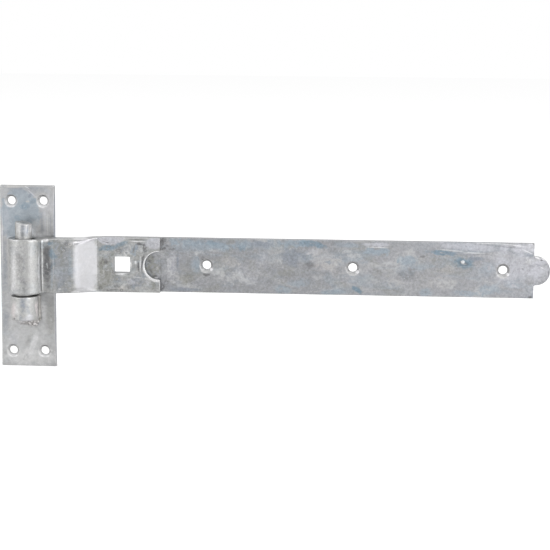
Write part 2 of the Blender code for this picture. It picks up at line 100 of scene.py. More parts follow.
# Beads of spatter along the weld's right-hand foot: x, y, z and radius in mm
WELD_BEADS = (
    (1.9, -7.4, -34.6, 1.15), (-0.2, -8.6, -32.6, 1.0), (4.9, -7.6, -34.9, 1.1),
    (6.6, -8.2, -31.2, 1.2), (3.4, -9.4, -32.4, 1.0), (7.6, -7.0, -33.2, 1.0),
    (5.6, -9.0, -32.8, 0.8), (1.2, -9.8, -31.6, 0.8), (-2.6, -8.0, -33.6, 0.7),
    (3.2, -6.6, -36.0, 0.8), (6.3, -6.4, -35.6, 0.7), (9.2, -6.6, -31.4, 0.7),
    (-5.4, -7.6, -33.2, 0.8), (-4.0, -8.6, -32.4, 0.6), (8.2, -9.2, -29.6, 0.8),
)

# Camera: where it stands in metres, where it looks in radians, and its lens
CAMERA_PLACE = Vector((0.28136, -1.38783, 0.22214))
CAMERA_DOWN = 0.15596
CAMERA_LEFT = 0.0721
CAMERA_ROLL = 0.00645
CAMERA_FOCUS_PX = 1934.56
PHOTO_WIDTH_PX = 550
SENSOR_MM = 36

# Floor: its height and half its side in metres, its paint, and how bright it is to the
# camera and in the zinc's mirrored light
FLOOR_Z = -0.0668
FLOOR_HALF_SIDE = 4.0
FLOOR_PAINT = (0.80, 0.80, 0.80, 1)
FLOOR_ROUGHNESS = 0.9
FLOOR_SEEN = 0.28
FLOOR_MIRRORED = 0.10

# Sky: how bright it is as plain light, and where it is seen or mirrored
SKY_LIGHT = 0.85
SKY_SEEN = 1.0

# Lamps: the spot that they all look at and how far from it they stand, in metres
LAMP_TARGET = Vector((0.12, -0.01, 0.0))
LAMP_DISTANCE = 2.2


# Meshes
def copied_node(node, name):
    """A new piece with a CAD node's mesh, merged and with its flat faces whole."""
    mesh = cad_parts[node].data.copy()
    mesh.name = name
    mesh.materials.clear()
    if "custom_normal" in mesh.attributes:
        mesh.attributes.remove(mesh.attributes["custom_normal"])
    piece = bpy.data.objects.new(name, mesh)
    bpy.context.scene.collection.objects.link(piece)
    bm = bmesh.new()
    bm.from_mesh(mesh)
    bmesh.ops.remove_doubles(bm, verts=bm.verts, dist=MERGE_DISTANCE)
    bmesh.ops.dissolve_limit(bm, angle_limit=FLAT_ANGLE, verts=bm.verts, edges=bm.edges)
    return piece, bm


def round_rims(bm, rounding, wanted=None):
    """Rounds the sharp edges, or only those whose middle passes the test."""
    rims = [edge for edge in bm.edges
            if len(edge.link_faces) == 2 and edge.calc_face_angle() > RIM_ANGLE
            and (wanted is None or wanted((edge.verts[0].co + edge.verts[1].co) / 2))]
    if rims:
        bmesh.ops.bevel(bm, geom=rims, offset=rounding, segments=ROUNDING_STEPS,
                        profile=0.5, affect="EDGES", clamp_overlap=True)


def on_notched_end(middle):
    """True along the notched end of the band's front layer, at its outer face."""
    return middle.x > NOTCHED_END_X and middle.y < NOTCHED_END_Y


def cut_up(bm, faces, axis, places):
    """Cuts the faces square to an axis at each place, halving the list each time."""
    if not places or not faces:
        return
    middle = len(places) // 2
    point, normal = Vector(), Vector()
    point[axis] = places[middle]
    normal[axis] = 1
    edges = {edge for face in faces for edge in face.edges}
    corners = {vert for face in faces for vert in face.verts}
    cut = bmesh.ops.bisect_plane(
        bm, geom=list(corners) + list(edges) + list(faces), dist=MERGE_DISTANCE,
        plane_co=point, plane_no=normal)
    found = [part for part in cut["geom"] if isinstance(part, bmesh.types.BMFace)]
    below, above = [], []
    for face in found:
        if face.calc_center_median()[axis] < places[middle]:
            below.append(face)
        else:
            above.append(face)
    cut_up(bm, below, axis, places[:middle])
    cut_up(bm, above, axis, places[middle + 1:])


def cut_to_grid(bm):
    """Cuts a mesh up at every step of the grid, so that it can carry the waves."""
    bmesh.ops.triangulate(bm, faces=bm.faces)
    for axis in range(3):
        spread = [vert.co[axis] for vert in bm.verts]
        low, high = min(spread), max(spread)
        count = int((high - low) / GRID)
        step = (high - low) / (count + 1)
        cut_up(bm, list(bm.faces), axis, [low + step * n for n in range(1, count + 1)])
    bmesh.ops.triangulate(bm, faces=bm.faces)


def skin_depth(place, waves):
    """How far the zinc stands out at a place, as the sum of its waves."""
    depth = 0.0
    for length, height in waves:
        depth += height * noise.noise(place / length + WAVE_SHIFT)
    return depth


def held_to_one(value):
    """The value, kept between nothing and one."""
    return min(max(value, 0.0), 1.0)


def finish_mesh(piece, bm, waves, swellings=()):
    """Marks sharp edges, notes where the rims are, and lays the zinc's waves on."""
    bm.normal_update()
    for face in bm.faces:
        face.smooth = True
    rim_layer = bm.verts.layers.float.new("rim")
    for edge in bm.edges:
        if len(edge.link_faces) == 2:
            bend = edge.calc_face_angle()
            edge.smooth = bend < SHARP_ANGLE
            share = held_to_one((bend - RIM_HIGHLIGHT_FROM) / RIM_HIGHLIGHT_SPAN)
            for vert in edge.verts:
                vert[rim_layer] = max(vert[rim_layer], share)
    normals = [vert.normal.copy() for vert in bm.verts]
    for vert, normal in zip(bm.verts, normals):
        place = vert.co.copy()
        vert.co += normal * skin_depth(place, waves)
        for centre, radius, push in swellings:
            near = (place - Vector(centre)).length / radius
            if near < 1:
                vert.co += Vector(push) * (1 - near * near) ** 2
    bm.to_mesh(piece.data)
    bm.free()
    piece.data.update()


def keep_flats_flat(piece):
    """Lets large flat faces lead the normals beside their rounded rims."""
    fix = piece.modifiers.new("Weighted normals", "WEIGHTED_NORMAL")
    fix.keep_sharp = True
    fix.weight = FLAT_FACE_WEIGHT


def apply_modifiers(piece):
    """Gives the piece the mesh that its modifiers make of it."""
    graph = bpy.context.evaluated_depsgraph_get()
    solid = bpy.data.meshes.new_from_object(piece.evaluated_get(graph), depsgraph=graph)
    old = piece.data
    piece.modifiers.clear()
    piece.data = solid
    bpy.data.meshes.remove(old)


def remeshed(node, name, voxel, smoothing, beads=()):
    """A CAD node and its beads melted into one soft skin."""
    piece, bm = copied_node(node, name)
    for x, y, z, radius in beads:
        bmesh.ops.create_icosphere(
            bm, subdivisions=2, radius=radius / MM_PER_METRE,
            matrix=Matrix.Translation(Vector((x, y, z)) / MM_PER_METRE))
    bm.to_mesh(piece.data)
    bm.free()
    skin = piece.modifiers.new("Skin", "REMESH")
    skin.mode = "VOXEL"
    skin.voxel_size = voxel
    skin.use_smooth_shade = True
    soften = piece.modifiers.new("Soften", "SMOOTH")
    soften.factor = 0.5
    soften.iterations = smoothing
    apply_modifiers(piece)
    bm = bmesh.new()
    bm.from_mesh(piece.data)
    return piece, bm


# The pieces
def dressed_plate():
    """The screwed back plate, with the lump of zinc at its lower corner."""
    piece, bm = copied_node("hook_plate", "screwed_plate")
    round_rims(bm, RIM_ROUNDING)
    cut_to_grid(bm)
    finish_mesh(piece, bm, SKIN_WAVES, [(LUMP_CENTRE, LUMP_RADIUS, LUMP_PUSH)])
    return piece


def dressed_band():
    """The folded and cranked band, softer round its notched end."""
    piece, bm = copied_node("band", "folded_band")
    round_rims(bm, CROP_ROUNDING, on_notched_end)
    round_rims(bm, RIM_ROUNDING)
    cut_to_grid(bm)
    finish_mesh(piece, bm, SKIN_WAVES)
    return piece


def dressed_pin():
    """The pin and its boss, with the pin's top a little askew."""
    piece, bm = remeshed("hook_pin", "pin_and_boss", PIN_VOXEL, PIN_SMOOTHING)
    for vert in bm.verts:
        share = held_to_one((vert.co.z - PIN_TOP + PIN_SLANT_REACH) / PIN_SLANT_REACH)
        wave = PIN_TOP_WAVE * noise.noise(vert.co * PIN_TOP_WAVES_PER_METRE)
        vert.co.z -= share * (PIN_SLANT * (vert.co.x - PIN_LEVEL_X) + wave)
    finish_mesh(piece, bm, PIN_WAVES)
    return piece


def dressed_weld():
    """The weld round the boss, swollen a little and with beads of spatter."""
    piece, bm = remeshed("boss_weld", "boss_weld_bead", WELD_VOXEL, WELD_SMOOTHING, WELD_BEADS)
    bm.normal_update()
    for vert in bm.verts:
        vert.co += vert.normal * WELD_SWELL
    finish_mesh(piece, bm, WELD_WAVES)
    return piece


# Shader nodes
class Bench:
    """Adds nodes to one node tree and joins them."""

    def __init__(self, tree):
        self.tree = tree

    def add(self, kind, values=None, **settings):
        node = self.tree.nodes.new(kind)
        for key, value in settings.items():
            setattr(node, key, value)
        for key, value in (values or {}).items():
            self.feed(node.inputs[key], value)
        return node

    def feed(self, socket, value):
        if isinstance(value, bpy.types.NodeSocket):
            self.tree.links.new(value, socket)
        else:
            socket.default_value = value

    def sum(self, how, first, second=0.0, third=0.0, clamp=False):
        node = self.add("ShaderNodeMath", {0: first, 1: second, 2: third}, operation=how)
        node.use_clamp = clamp
        return node.outputs[0]

    def turn(self, how, first, second=(0, 0, 0)):
        node = self.add("ShaderNodeVectorMath", {0: first, 1: second}, operation=how)
        return node.outputs["Value"] if how == "LENGTH" else node.outputs[0]

    def cloud(self, vector, size, detail=2.0, roughness=0.5, distortion=0.0):
        node = self.add("ShaderNodeTexNoise", {
            "Vector": vector, "Detail": detail, "Roughness": roughness,
            "Distortion": distortion})
        if isinstance(size, bpy.types.NodeSocket):
            self.feed(node.inputs["Scale"], self.sum("DIVIDE", 1.0, size))
        else:
            node.inputs["Scale"].default_value = 1 / size
        return node.outputs[0]

    def step(self, value, low, high, out_low=0.0, out_high=1.0):
        node = self.add("ShaderNodeMapRange", {
            "Value": value, "From Min": low, "From Max": high,
            "To Min": out_low, "To Max": out_high}, interpolation_type="SMOOTHSTEP")
        return node.outputs[0]

    def blend(self, share, first, second, how="MIX"):
        node = self.add("ShaderNodeMix", data_type="RGBA", blend_type=how)
        self.feed(node.inputs[0], share)
        self.feed(node.inputs[6], first)
        self.feed(node.inputs[7], second)
        return node.outputs[2]

    def group(self, tree, values):
        node = self.tree.nodes.new("ShaderNodeGroup")
        node.node_tree = tree
        for key, value in values.items():
            self.feed(node.inputs[key], value)
        return node


FLOAT, VECTOR = "NodeSocketFloat", "NodeSocketVector"


def new_group(name, inputs, outputs):
    """An empty node group, its bench, what it is given and what it puts out."""
    tree = bpy.data.node_groups.new(name, "ShaderNodeTree")
    for label, kind, value in inputs:
        socket = tree.interface.new_socket(name=label, in_out="INPUT", socket_type=kind)
        if value is not None:
            socket.default_value = value
    for label in outputs:
        tree.interface.new_socket(name=label, in_out="OUTPUT", socket_type=FLOAT)
    source = tree.nodes.new("NodeGroupInput")
    sink = tree.nodes.new("NodeGroupOutput")
    return tree, Bench(tree), source.outputs, sink.inputs


def zinc_clouds_group():
    """Broad pale, deep and blue clouds in the zinc."""
    tree, bench, given, wanted = new_group(
        "zinc_clouds", [("Vector", VECTOR, None), ("Size", FLOAT, 0.018)],
        ["Pale", "Deep", "Blue"])
    for label, shift, low, high, stretch in (
            ("Pale", (3.1, 0.4, 1.7), 0.50, 0.72, (0.5, 1, 1.25)),
            ("Deep", (8.2, 5.5, 2.9), 0.50, 0.70, (0.7, 1, 1.1)),
            ("Blue", (1.6, 9.4, 6.2), 0.48, 0.70, (0.4, 1, 1.4))):
        moved = bench.turn("ADD", bench.turn("MULTIPLY", given["Vector"], stretch), shift)
        mass = bench.cloud(moved, given["Size"], detail=4.0, roughness=0.62, distortion=0.8)
        bench.feed(wanted[label], bench.step(mass, low, high))
    return tree


def zinc_grain_group():
    """Fine mottle of the crystals: a tone about one, and a height for the bump."""
    tree, bench, given, wanted = new_group(
        "zinc_grain",
        [("Vector", VECTOR, None), ("Size", FLOAT, 0.0022), ("Strength", FLOAT, 0.1)],
        ["Tone", "Height"])
    fine_size_share = 0.28
    coarse_share = 0.65
    swing_gain = 4.0
    coarse = bench.cloud(given["Vector"], given["Size"], detail=3.0, roughness=0.6,
                         distortion=0.5)
    fine_size = bench.sum("MULTIPLY", given["Size"], fine_size_share)
    fine = bench.cloud(given["Vector"], fine_size, detail=2.0, roughness=0.6)
    both = bench.sum("ADD", bench.sum("MULTIPLY", coarse, coarse_share),
                     bench.sum("MULTIPLY", fine, 1 - coarse_share))
    swing = bench.sum("MULTIPLY", bench.sum("SUBTRACT", both, 0.5), swing_gain)
    tone = bench.sum("MULTIPLY_ADD", swing, given["Strength"], 1.0)
    bench.feed(wanted["Tone"], tone)
    bench.feed(wanted["Height"], both)
    return tree


def zinc_runs_group():
    """Thin wavy lines where the zinc ran and froze."""
    tree, bench, given, wanted = new_group(
        "zinc_runs",
        [("Vector", VECTOR, None), ("Size", FLOAT, 0.03), ("Lines", FLOAT, 5.0),
         ("Width", FLOAT, 0.06)],
        ["Line"])
    break_size_share = 0.7
    field = bench.cloud(given["Vector"], given["Size"], detail=2.5, roughness=0.45,
                        distortion=0.6)
    scaled = bench.sum("MULTIPLY", field, given["Lines"])
    offset = bench.sum("ABSOLUTE", bench.sum("SUBTRACT", bench.sum("FRACT", scaled), 0.5))
    line = bench.sum("SUBTRACT", 1.0, bench.step(offset, 0.0, given["Width"]))
    break_size = bench.sum("MULTIPLY", given["Size"], break_size_share)
    where = bench.cloud(given["Vector"], break_size, detail=1.0)
    kept = bench.step(where, 0.5, 0.62)
    bench.feed(wanted["Line"], bench.sum("MULTIPLY", line, kept))
    return tree


def soft_patch_group():
    """One patch with a soft ragged edge: an ellipsoid, full or hollow, round a centre."""
    tree, bench, given, wanted = new_group(
        "soft_patch",
        [("Vector", VECTOR, None), ("Unrest", FLOAT, 0.0), ("Centre", VECTOR, (0, 0, 0)),
         ("Reach", VECTOR, (0.01, 0.005, 0.01)), ("Lean", FLOAT, 0.0),
         ("Softness", FLOAT, 0.6), ("Ragged", FLOAT, 0.35), ("Hollow", FLOAT, 0.0),
         ("Share", FLOAT, 0.5)],
        ["Mask"])
    hollow_rim = 0.05
    apart = bench.turn("SUBTRACT", given["Vector"], given["Centre"])
    leaned = bench.add("ShaderNodeVectorRotate", {"Vector": apart, "Angle": given["Lean"]},
                       rotation_type="Y_AXIS")
    shared = bench.turn("DIVIDE", leaned.outputs[0], given["Reach"])
    far = bench.turn("LENGTH", shared)
    reach = bench.sum("MULTIPLY_ADD", given["Unrest"], given["Ragged"], far)
    inner = bench.sum("SUBTRACT", 1.0, given["Softness"])
    mask = bench.step(reach, inner, 1.0, given["Share"], 0.0)
    hole_edge = bench.sum("MULTIPLY_ADD", given["Hollow"], 1 + hollow_rim, -hollow_rim)
    hole = bench.step(reach, hole_edge, given["Hollow"])
    bench.feed(wanted["Mask"], bench.sum("MULTIPLY", mask, hole))
    return tree


def rim_group():
    """Painted highlight where an edge or a rim catches more light, broken up a little."""
    tree, bench, given, wanted = new_group(
        "painted_rim_highlight", [("Vector", VECTOR, None), ("Strength", FLOAT, 0.4)], ["Mask"])
    gap_size = 0.007
    least_rim_highlight = 0.35
    found = bench.add("ShaderNodeAttribute", attribute_name="rim").outputs["Fac"]
    gaps = bench.cloud(given["Vector"], gap_size, detail=2.0)
    broken = bench.step(gaps, 0.3, 0.6, least_rim_highlight, 1.0)
    both = bench.sum("MULTIPLY", found, broken)
    bench.feed(wanted["Mask"], bench.sum("MULTIPLY", both, given["Strength"]))
    return tree


GROUPS = {
    "clouds": zinc_clouds_group(), "grain": zinc_grain_group(), "runs": zinc_runs_group(),
    "patch": soft_patch_group(), "rim": rim_group()}

# Linear tints of the zinc skin, and of the light and shade painted on it
BLUE = (0.265, 0.312, 0.355, 1)
DEEP_BLUE = (0.175, 0.235, 0.285, 1)
SLATE = (0.215, 0.235, 0.27, 1)
LILAC = (0.455, 0.457, 0.495, 1)
OLIVE = (0.225, 0.225, 0.203, 1)
WARM = (0.44, 0.425, 0.405, 1)
PINK = (0.445, 0.428, 0.43, 1)
PALE = (0.51, 0.51, 0.51, 1)
# WHITE is laid on both as pale streaks in the zinc and as painted highlights and painted light
WHITE = (0.75, 0.75, 0.76, 1)
# DARK is laid on both as dark spots in the zinc and as painted shade in creases and between
# highlights
DARK = (0.13, 0.13, 0.134, 1)
# Painted light over the whole eye, the slope's painted highlight, painted shade over the
# slope's top, and a pink tint with a painted sheen for the boss's sides
EYE_PAINTED_LIGHT = (0.39, 0.388, 0.384, 1)
SLOPE_HIGHLIGHT = (0.455, 0.452, 0.472, 1)
WEDGE_SHADE = (0.30, 0.297, 0.31, 1)
ROSE_SHEEN = (0.62, 0.575, 0.57, 1)
# Painted highlight laid on the sharp rims
RIM_HIGHLIGHT = (0.72, 0.72, 0.72, 1)

# Roughness of a matt patch, written as a colour so that it can be blended like one
MATT = (0.75, 0.75, 0.75, 1)

# Each face that carries patches: the y of their centres and how deep they reach, in mm
STRAP_FACE = (-5, 3.5)
FLAT_FACE = (-10.3, 3.5)
EYE_FACE = (-20, 22)
SLOPE_FACE = (-15.5, 22)
CALM_FACE = (-18, 22)
NECK_FACE = (-21.2, 4)
PLATE_FACE = (-5, 4)
PLATE_EDGE = (-2.5, 5)
HOLE_FACE = (-5, 4.2)
PIN_FACE = (-23.5, 8)
BOSS_FACE = (-26, 11)
WELD_FACE = (-9, 9)

# Middles of the round holes, in mm: x along the band, then x and z on the plate
BAND_HOLES = (131.5, 237.7, 345.8)
BAND_MIDDLE_Z = 10.2
PLATE_HOLES = tuple((x, z) for x in (-11.75, 11.75) for z in (-55.5, 55.5))


def patches_on(face, rows, hollow=0):
    """Patches on one face, each as its centre, its reach and how it is laid on."""
    y, deep = face
    return tuple(
        ((x, y, z), (wide, deep, tall), lean, softness, ragged, hollow, share, tint)
        for x, z, wide, tall, lean, softness, ragged, share, tint in rows)


# Clouds and streaks in the zinc, with painted highlights and painted shade among them where
# an edge, a slope or a curve catches a lamp or lies in shade. Each row is a soft ellipsoid:
# its centre's x and z and its reach along them in mm, its lean in degrees, its softness, how
# ragged it is, how much of its tint it lays on, and the tint. Most were chosen by eye on the
# photo and turned into mm by a separate script. Some were then changed one by one, and some
# widths and shares were scaled as a group.
STRAP_PATCHES = patches_on(STRAP_FACE, (
    (129.7, 24.5, 31.9, 5.07, 0, 0.8, 0.5, 0.5, BLUE),
    (171.9, 26, 29, 4.71, 0, 0.8, 0.5, 0.5, BLUE),
    (196.6, 27.8, 17.4, 3.62, 0, 0.8, 0.6, 0.4, BLUE),
    (218.4, 15.1, 15.9, 9.42, 8, 0.6, 0.4, 0.4, PINK),
    (193, 16.4, 9.42, 7.25, 30, 0.7, 0.5, 0.62, SLATE),
    (211.1, 21.5, 6.52, 4.35, 0, 0.7, 0.6, 0.25, WARM),
    (233, 4.3, 18.8, 5.8, 0, 0.9, 0.6, 0.19, PINK),
    (163.3, 6, 13, 10.1, 0, 0.8, 0.6, 0.3, LILAC),
    (120.9, 5.3, 18.8, 11.6, 0, 0.9, 0.6, 0.3, OLIVE),
    (277.6, 11, 11.6, 8.7, 0, 0.8, 0.7, 0.35, BLUE),
    (298, 1.1, 17.4, 6.52, 0, 0.8, 0.6, 0.22, WARM),
    (343.4, 19.4, 14.5, 4.35, 0, 0.8, 0.5, 0.22, LILAC),
    (215.4, 26.2, 5.07, 2.46, 0, 0.5, 0.6, 0.65, DEEP_BLUE),
    (118, 26.5, 14.1, 3.62, 0, 0.7, 0.5, 0.7, BLUE),
    (139.9, 25.4, 11.7, 4.35, 4, 0.7, 0.5, 0.7, BLUE),
    (155.9, 25, 8.33, 3.62, 0, 0.6, 0.5, 0.7, BLUE),
    (171.9, 26.7, 10.8, 3.62, 0, 0.7, 0.5, 0.64, SLATE),
    (196.6, 27.8, 11.7, 3.62, 0, 0.7, 0.5, 0.58, BLUE),
    (208.9, 27.6, 10.9, 2.61, 3, 0.6, 0.6, 0.7, DEEP_BLUE),
    (123.8, 11.2, 5, 7.25, 0, 0.8, 0.5, 0.77, BLUE),
    (201.7, 17.7, 8.7, 2.17, 42, 0.7, 0.7, 0.85, SLATE),
    (206.8, 12.3, 4.71, 3.04, 0, 0.8, 0.6, 0.62, DARK),
    (199, -2.2, 11.7, 4.35, 0, 0.8, 0.6, 0.51, BLUE),
    (235.6, 27, 7.46, 2.54, 0, 0.7, 0.5, 0.51, BLUE),
    (255.9, 22.3, 11.7, 3.26, 0, 0.5, 0.5, 0.83, BLUE),
    (276.1, 16.8, 10, 4.35, 0, 0.6, 0.5, 0.7, BLUE),
    (240.3, -5.1, 5.41, 2.54, 25, 0.5, 0.5, 0.92, DEEP_BLUE),
    (246, 1.6, 12.5, 5.8, 0, 0.8, 0.6, 0.51, BLUE),
    (303.3, 22.3, 13.8, 2.17, 5, 0.6, 0.4, 0.9, DEEP_BLUE),
    (317.1, 15.3, 9.06, 6.09, 0, 0.6, 0.35, 0.97, DEEP_BLUE),
    (327, 18.7, 7.97, 2.32, 0, 0.7, 0.5, 0.8, SLATE),
    (335.8, 12, 7.46, 6.52, 0, 0.8, 0.6, 0.51, BLUE),
    (335.4, -4.1, 12.5, 5.07, 0, 0.7, 0.6, 0.64, BLUE),
    (320.4, -6.5, 12.5, 2.9, 0, 0.7, 0.5, 0.64, BLUE),
    (354.6, -0.1, 14.1, 4.35, 0, 0.8, 0.6, 0.51, BLUE),
    (290.9, -6.3, 5.83, 3.62, 0, 0.6, 0.5, 0.64, BLUE),
    (221.5, -7.6, 12.5, 2.61, 0, 0.7, 0.5, 0.64, BLUE),
    (187.4, -6, 8.33, 3.62, 0, 0.7, 0.5, 0.51, BLUE),
    (115.1, -7.7, 16.7, 1.74, 0, 0.7, 0.4, 0.7, SLATE),
    (106.3, 9.4, 5.07, 13, 0, 0.8, 0.6, 0.43, LILAC),
    (139.9, 4.9, 7.46, 5.8, 0, 0.8, 0.6, 0.38, PALE),
    (208.9, 21.5, 6.52, 3.26, 0, 0.8, 0.5, 0.36, LILAC),
    (221.3, 13.6, 14.1, 6.52, 0, 0.9, 0.6, 0.28, WARM),
    (172, 13.5, 5.07, 8.7, 15, 0.8, 0.6, 0.32, LILAC),
    (255.8, 27.7, 13, 1.88, 0, 0.5, 0.3, 0.7, LILAC),
    (321.8, 27, 31.9, 3.62, 3, 0.6, 0.4, 0.64, LILAC),
    (360.4, 26.2, 10.1, 5.07, 0, 0.7, 0.4, 0.77, LILAC),
    (354.3, 12.3, 24.6, 21.7, 0, 0.9, 0.5, 0.64, LILAC),
    (372.9, 11.2, 9.42, 10.1, 0, 0.8, 0.4, 0.58, LILAC),
    (110.7, 13.2, 1.3, 7.97, 0, 0.8, 0.5, 0.57, SLATE),
    (119.5, 0.8, 8.33, 5.8, 0, 0.8, 0.6, 0.51, OLIVE),
    (277.7, 5.1, 10.8, 5.07, 0, 0.9, 0.7, 0.38, DARK),
    (256.1, 8.4, 2.9, 2.17, 0, 0.8, 0.6, 0.4, DARK),
    (287.6, 19.2, 2.17, 1.16, 0, 0.7, 0.6, 0.57, DARK),
    (92.4, 9.9, 5.41, 9.42, 0, 0.5, 0.8, 0.7, OLIVE),
    (90.2, 12.1, 1.59, 1.88, 0, 0.6, 0.9, 0.69, DARK),
    (93.1, 15.8, 1.88, 1.3, 0, 0.6, 0.9, 0.63, DARK),
    (90.9, 5.5, 1.88, 1.3, 30, 0.6, 0.9, 0.52, DARK),
    (94.5, 1.9, 1.59, 1.16, 0, 0.6, 0.9, 0.57, DARK),
    (95.3, 7.8, 1.3, 1.88, 0, 0.6, 0.9, 0.4, PALE),
    (99, 26.2, 1.45, 5.07, 0, 0.5, 0.8, 0.69, DARK),
    (100.5, 21.8, 2.32, 1.59, 0, 0.5, 0.9, 0.69, DARK),
    (106.3, 21.9, 5, 0.942, -4, 0.6, 0.9, 0.58, DARK),
    (103.4, 24.1, 2.17, 1.16, 0, 0.6, 0.9, 0.4, DARK),
    (98.9, -5.5, 1.59, 3.62, 0, 0.6, 0.8, 0.57, DARK),
    (101.9, -3.2, 1.88, 2.17, 0, 0.6, 0.9, 0.4, DARK),
    # Painted shade at the foot of the front layer's end
    (98.1, 7.8, 0.942, 14.5, 0, 0.8, 0.2, 0.34, DARK),
    (104.1, 12.3, 2.9, 4.35, 0, 0.7, 0.9, 0.39, PALE),
    (104.8, 3.5, 3.62, 2.9, 0, 0.7, 0.9, 0.34, PALE),
    (107.7, -2.3, 2.9, 2.17, 0, 0.7, 0.9, 0.34, PALE),
    (110.3, 12.4, 1.16, 5.8, 4, 0.6, 0.9, 0.57, SLATE),
    (112.1, 5.1, 2.17, 2.9, 0, 0.7, 0.9, 0.4, SLATE),
    (131.5, 3.5, 3.62, 1.74, 0, 0.6, 0.8, 0.75, DARK),
    (129, 15.7, 3.62, 1.59, -14, 0.7, 0.7, 0.46, DARK),
    (123.8, 19.3, 5.83, 2.17, 0, 0.7, 0.9, 0.43, PALE),
    (137, 21, 5, 2.17, 0, 0.7, 0.9, 0.38, PALE),
    (147.2, 13.1, 10, 5.8, 0, 0.8, 0.9, 0.38, WARM),
    (153.1, 1.4, 10, 5.07, 0, 0.8, 0.9, 0.38, PALE),
    (164.7, 9, 5, 5.8, 0, 0.8, 0.9, 0.38, OLIVE),
    (190.9, 6.5, 8.33, 4.35, 0, 0.8, 0.9, 0.45, OLIVE),
    (193.7, 22.7, 3.62, 2.17, 0, 0.7, 0.9, 0.46, SLATE),
    (232.1, 21.9, 8.33, 2.17, 0, 0.7, 0.9, 0.28, PALE),
    (237.2, 19, 8.33, 2.17, 0, 0.6, 0.8, 0.32, PALE),
    (249.7, 1, 10, 4.35, 0, 0.8, 0.9, 0.28, WARM),
    (268.9, 15.2, 5.83, 6.52, 0, 0.8, 0.9, 0.28, PALE),
    (269.2, -0.1, 8.33, 3.62, 0, 0.8, 0.9, 0.24, WARM),
    (305.7, 10, 8.33, 4.35, 0, 0.8, 0.9, 0.28, WARM),
    (303, -1, 11.7, 3.62, 0, 0.8, 0.9, 0.24, PALE),
    (364.8, 21.9, 3.62, 2.9, 30, 0.7, 0.9, 0.46, SLATE),
    (363.5, 16.8, 2.54, 3.62, 0, 0.7, 0.9, 0.46, WHITE),
    (365.4, 27, 2.17, 3.62, 0, 0.7, 0.9, 0.12, WHITE),
    (365.6, -9, 1.88, 0.942, -20, 0.5, 0.7, 0.8, DARK),
    (370, 20.1, 2.75, 1.01, 28, 0.5, 0.3, 0.8, WHITE),
    (373.1, 18.2, 0.942, 0.652, 0, 0.5, 0.3, 0.8, DARK),
    (378.4, 8.7, 0.652, 2.46, 0, 0.6, 0.3, 0.6, DARK),
    (374.8, 18.8, 2.46, 0.652, 25, 0.6, 0.3, 0.6, WHITE),
    # Painted light just inside the notch's lower rim, over its shade
    (93.8, 0, 3.26, 1.09, -22, 0.6, 0.3, 0.7, WHITE),
    (100.5, 28.4, 2.17, 2.46, 0, 0.6, 0.8, 0.6, DARK),
    (99.6, -6.9, 2.17, 2.46, 0, 0.7, 0.8, 0.55, DARK),
    (158.1, 23.2, 6.52, 3.19, 0, 0.7, 0.6, 0.55, DEEP_BLUE),
    (107.8, 27.1, 5.8, 3.19, 0, 0.7, 0.7, 0.55, BLUE),
    (135.5, 26.8, 8.7, 2.17, 0, 0.7, 0.6, 0.45, DEEP_BLUE),
    (317.1, 14.6, 5.8, 3.91, 0, 0.8, 0.4, 0.4, DARK),
))
STRAP_LINES = patches_on(STRAP_FACE, (
    (255.8, 25.6, 10.9, 0.652, 1, 0.8, 0.2, 0.45, WHITE),
    (309, 24.2, 15.2, 0.652, 5, 0.8, 0.15, 0.38, WHITE),
    (324.8, 22.7, 11.6, 0.652, 1.5, 0.8, 0.15, 0.45, WHITE),
    (311.2, 21.7, 20.3, 0.58, 3, 0.8, 0.06, 0.45, SLATE),
    (336.1, 29.7, 15.9, 0.58, 1.5, 0.8, 0.15, 0.45, WHITE),
    (354.6, 28.6, 11.6, 0.652, 6, 0.8, 0.15, 0.6, WHITE),
    (347.5, 27.4, 18.8, 0.507, 4.5, 0.8, 0.06, 0.4, DARK),
    (363.3, 24.1, 5.8, 0.58, 24, 0.8, 0.05, 0.6, WHITE),
    (317.2, 16.2, 1.52, 1.38, 0, 0.6, 0.3, 0.7, WHITE),
    (370.7, 14.8, 3.62, 0.507, 25, 0.8, 0.05, 0.45, SLATE),
    (373.6, 12.7, 3.62, 0.507, 30, 0.8, 0.05, 0.5, WHITE),
))
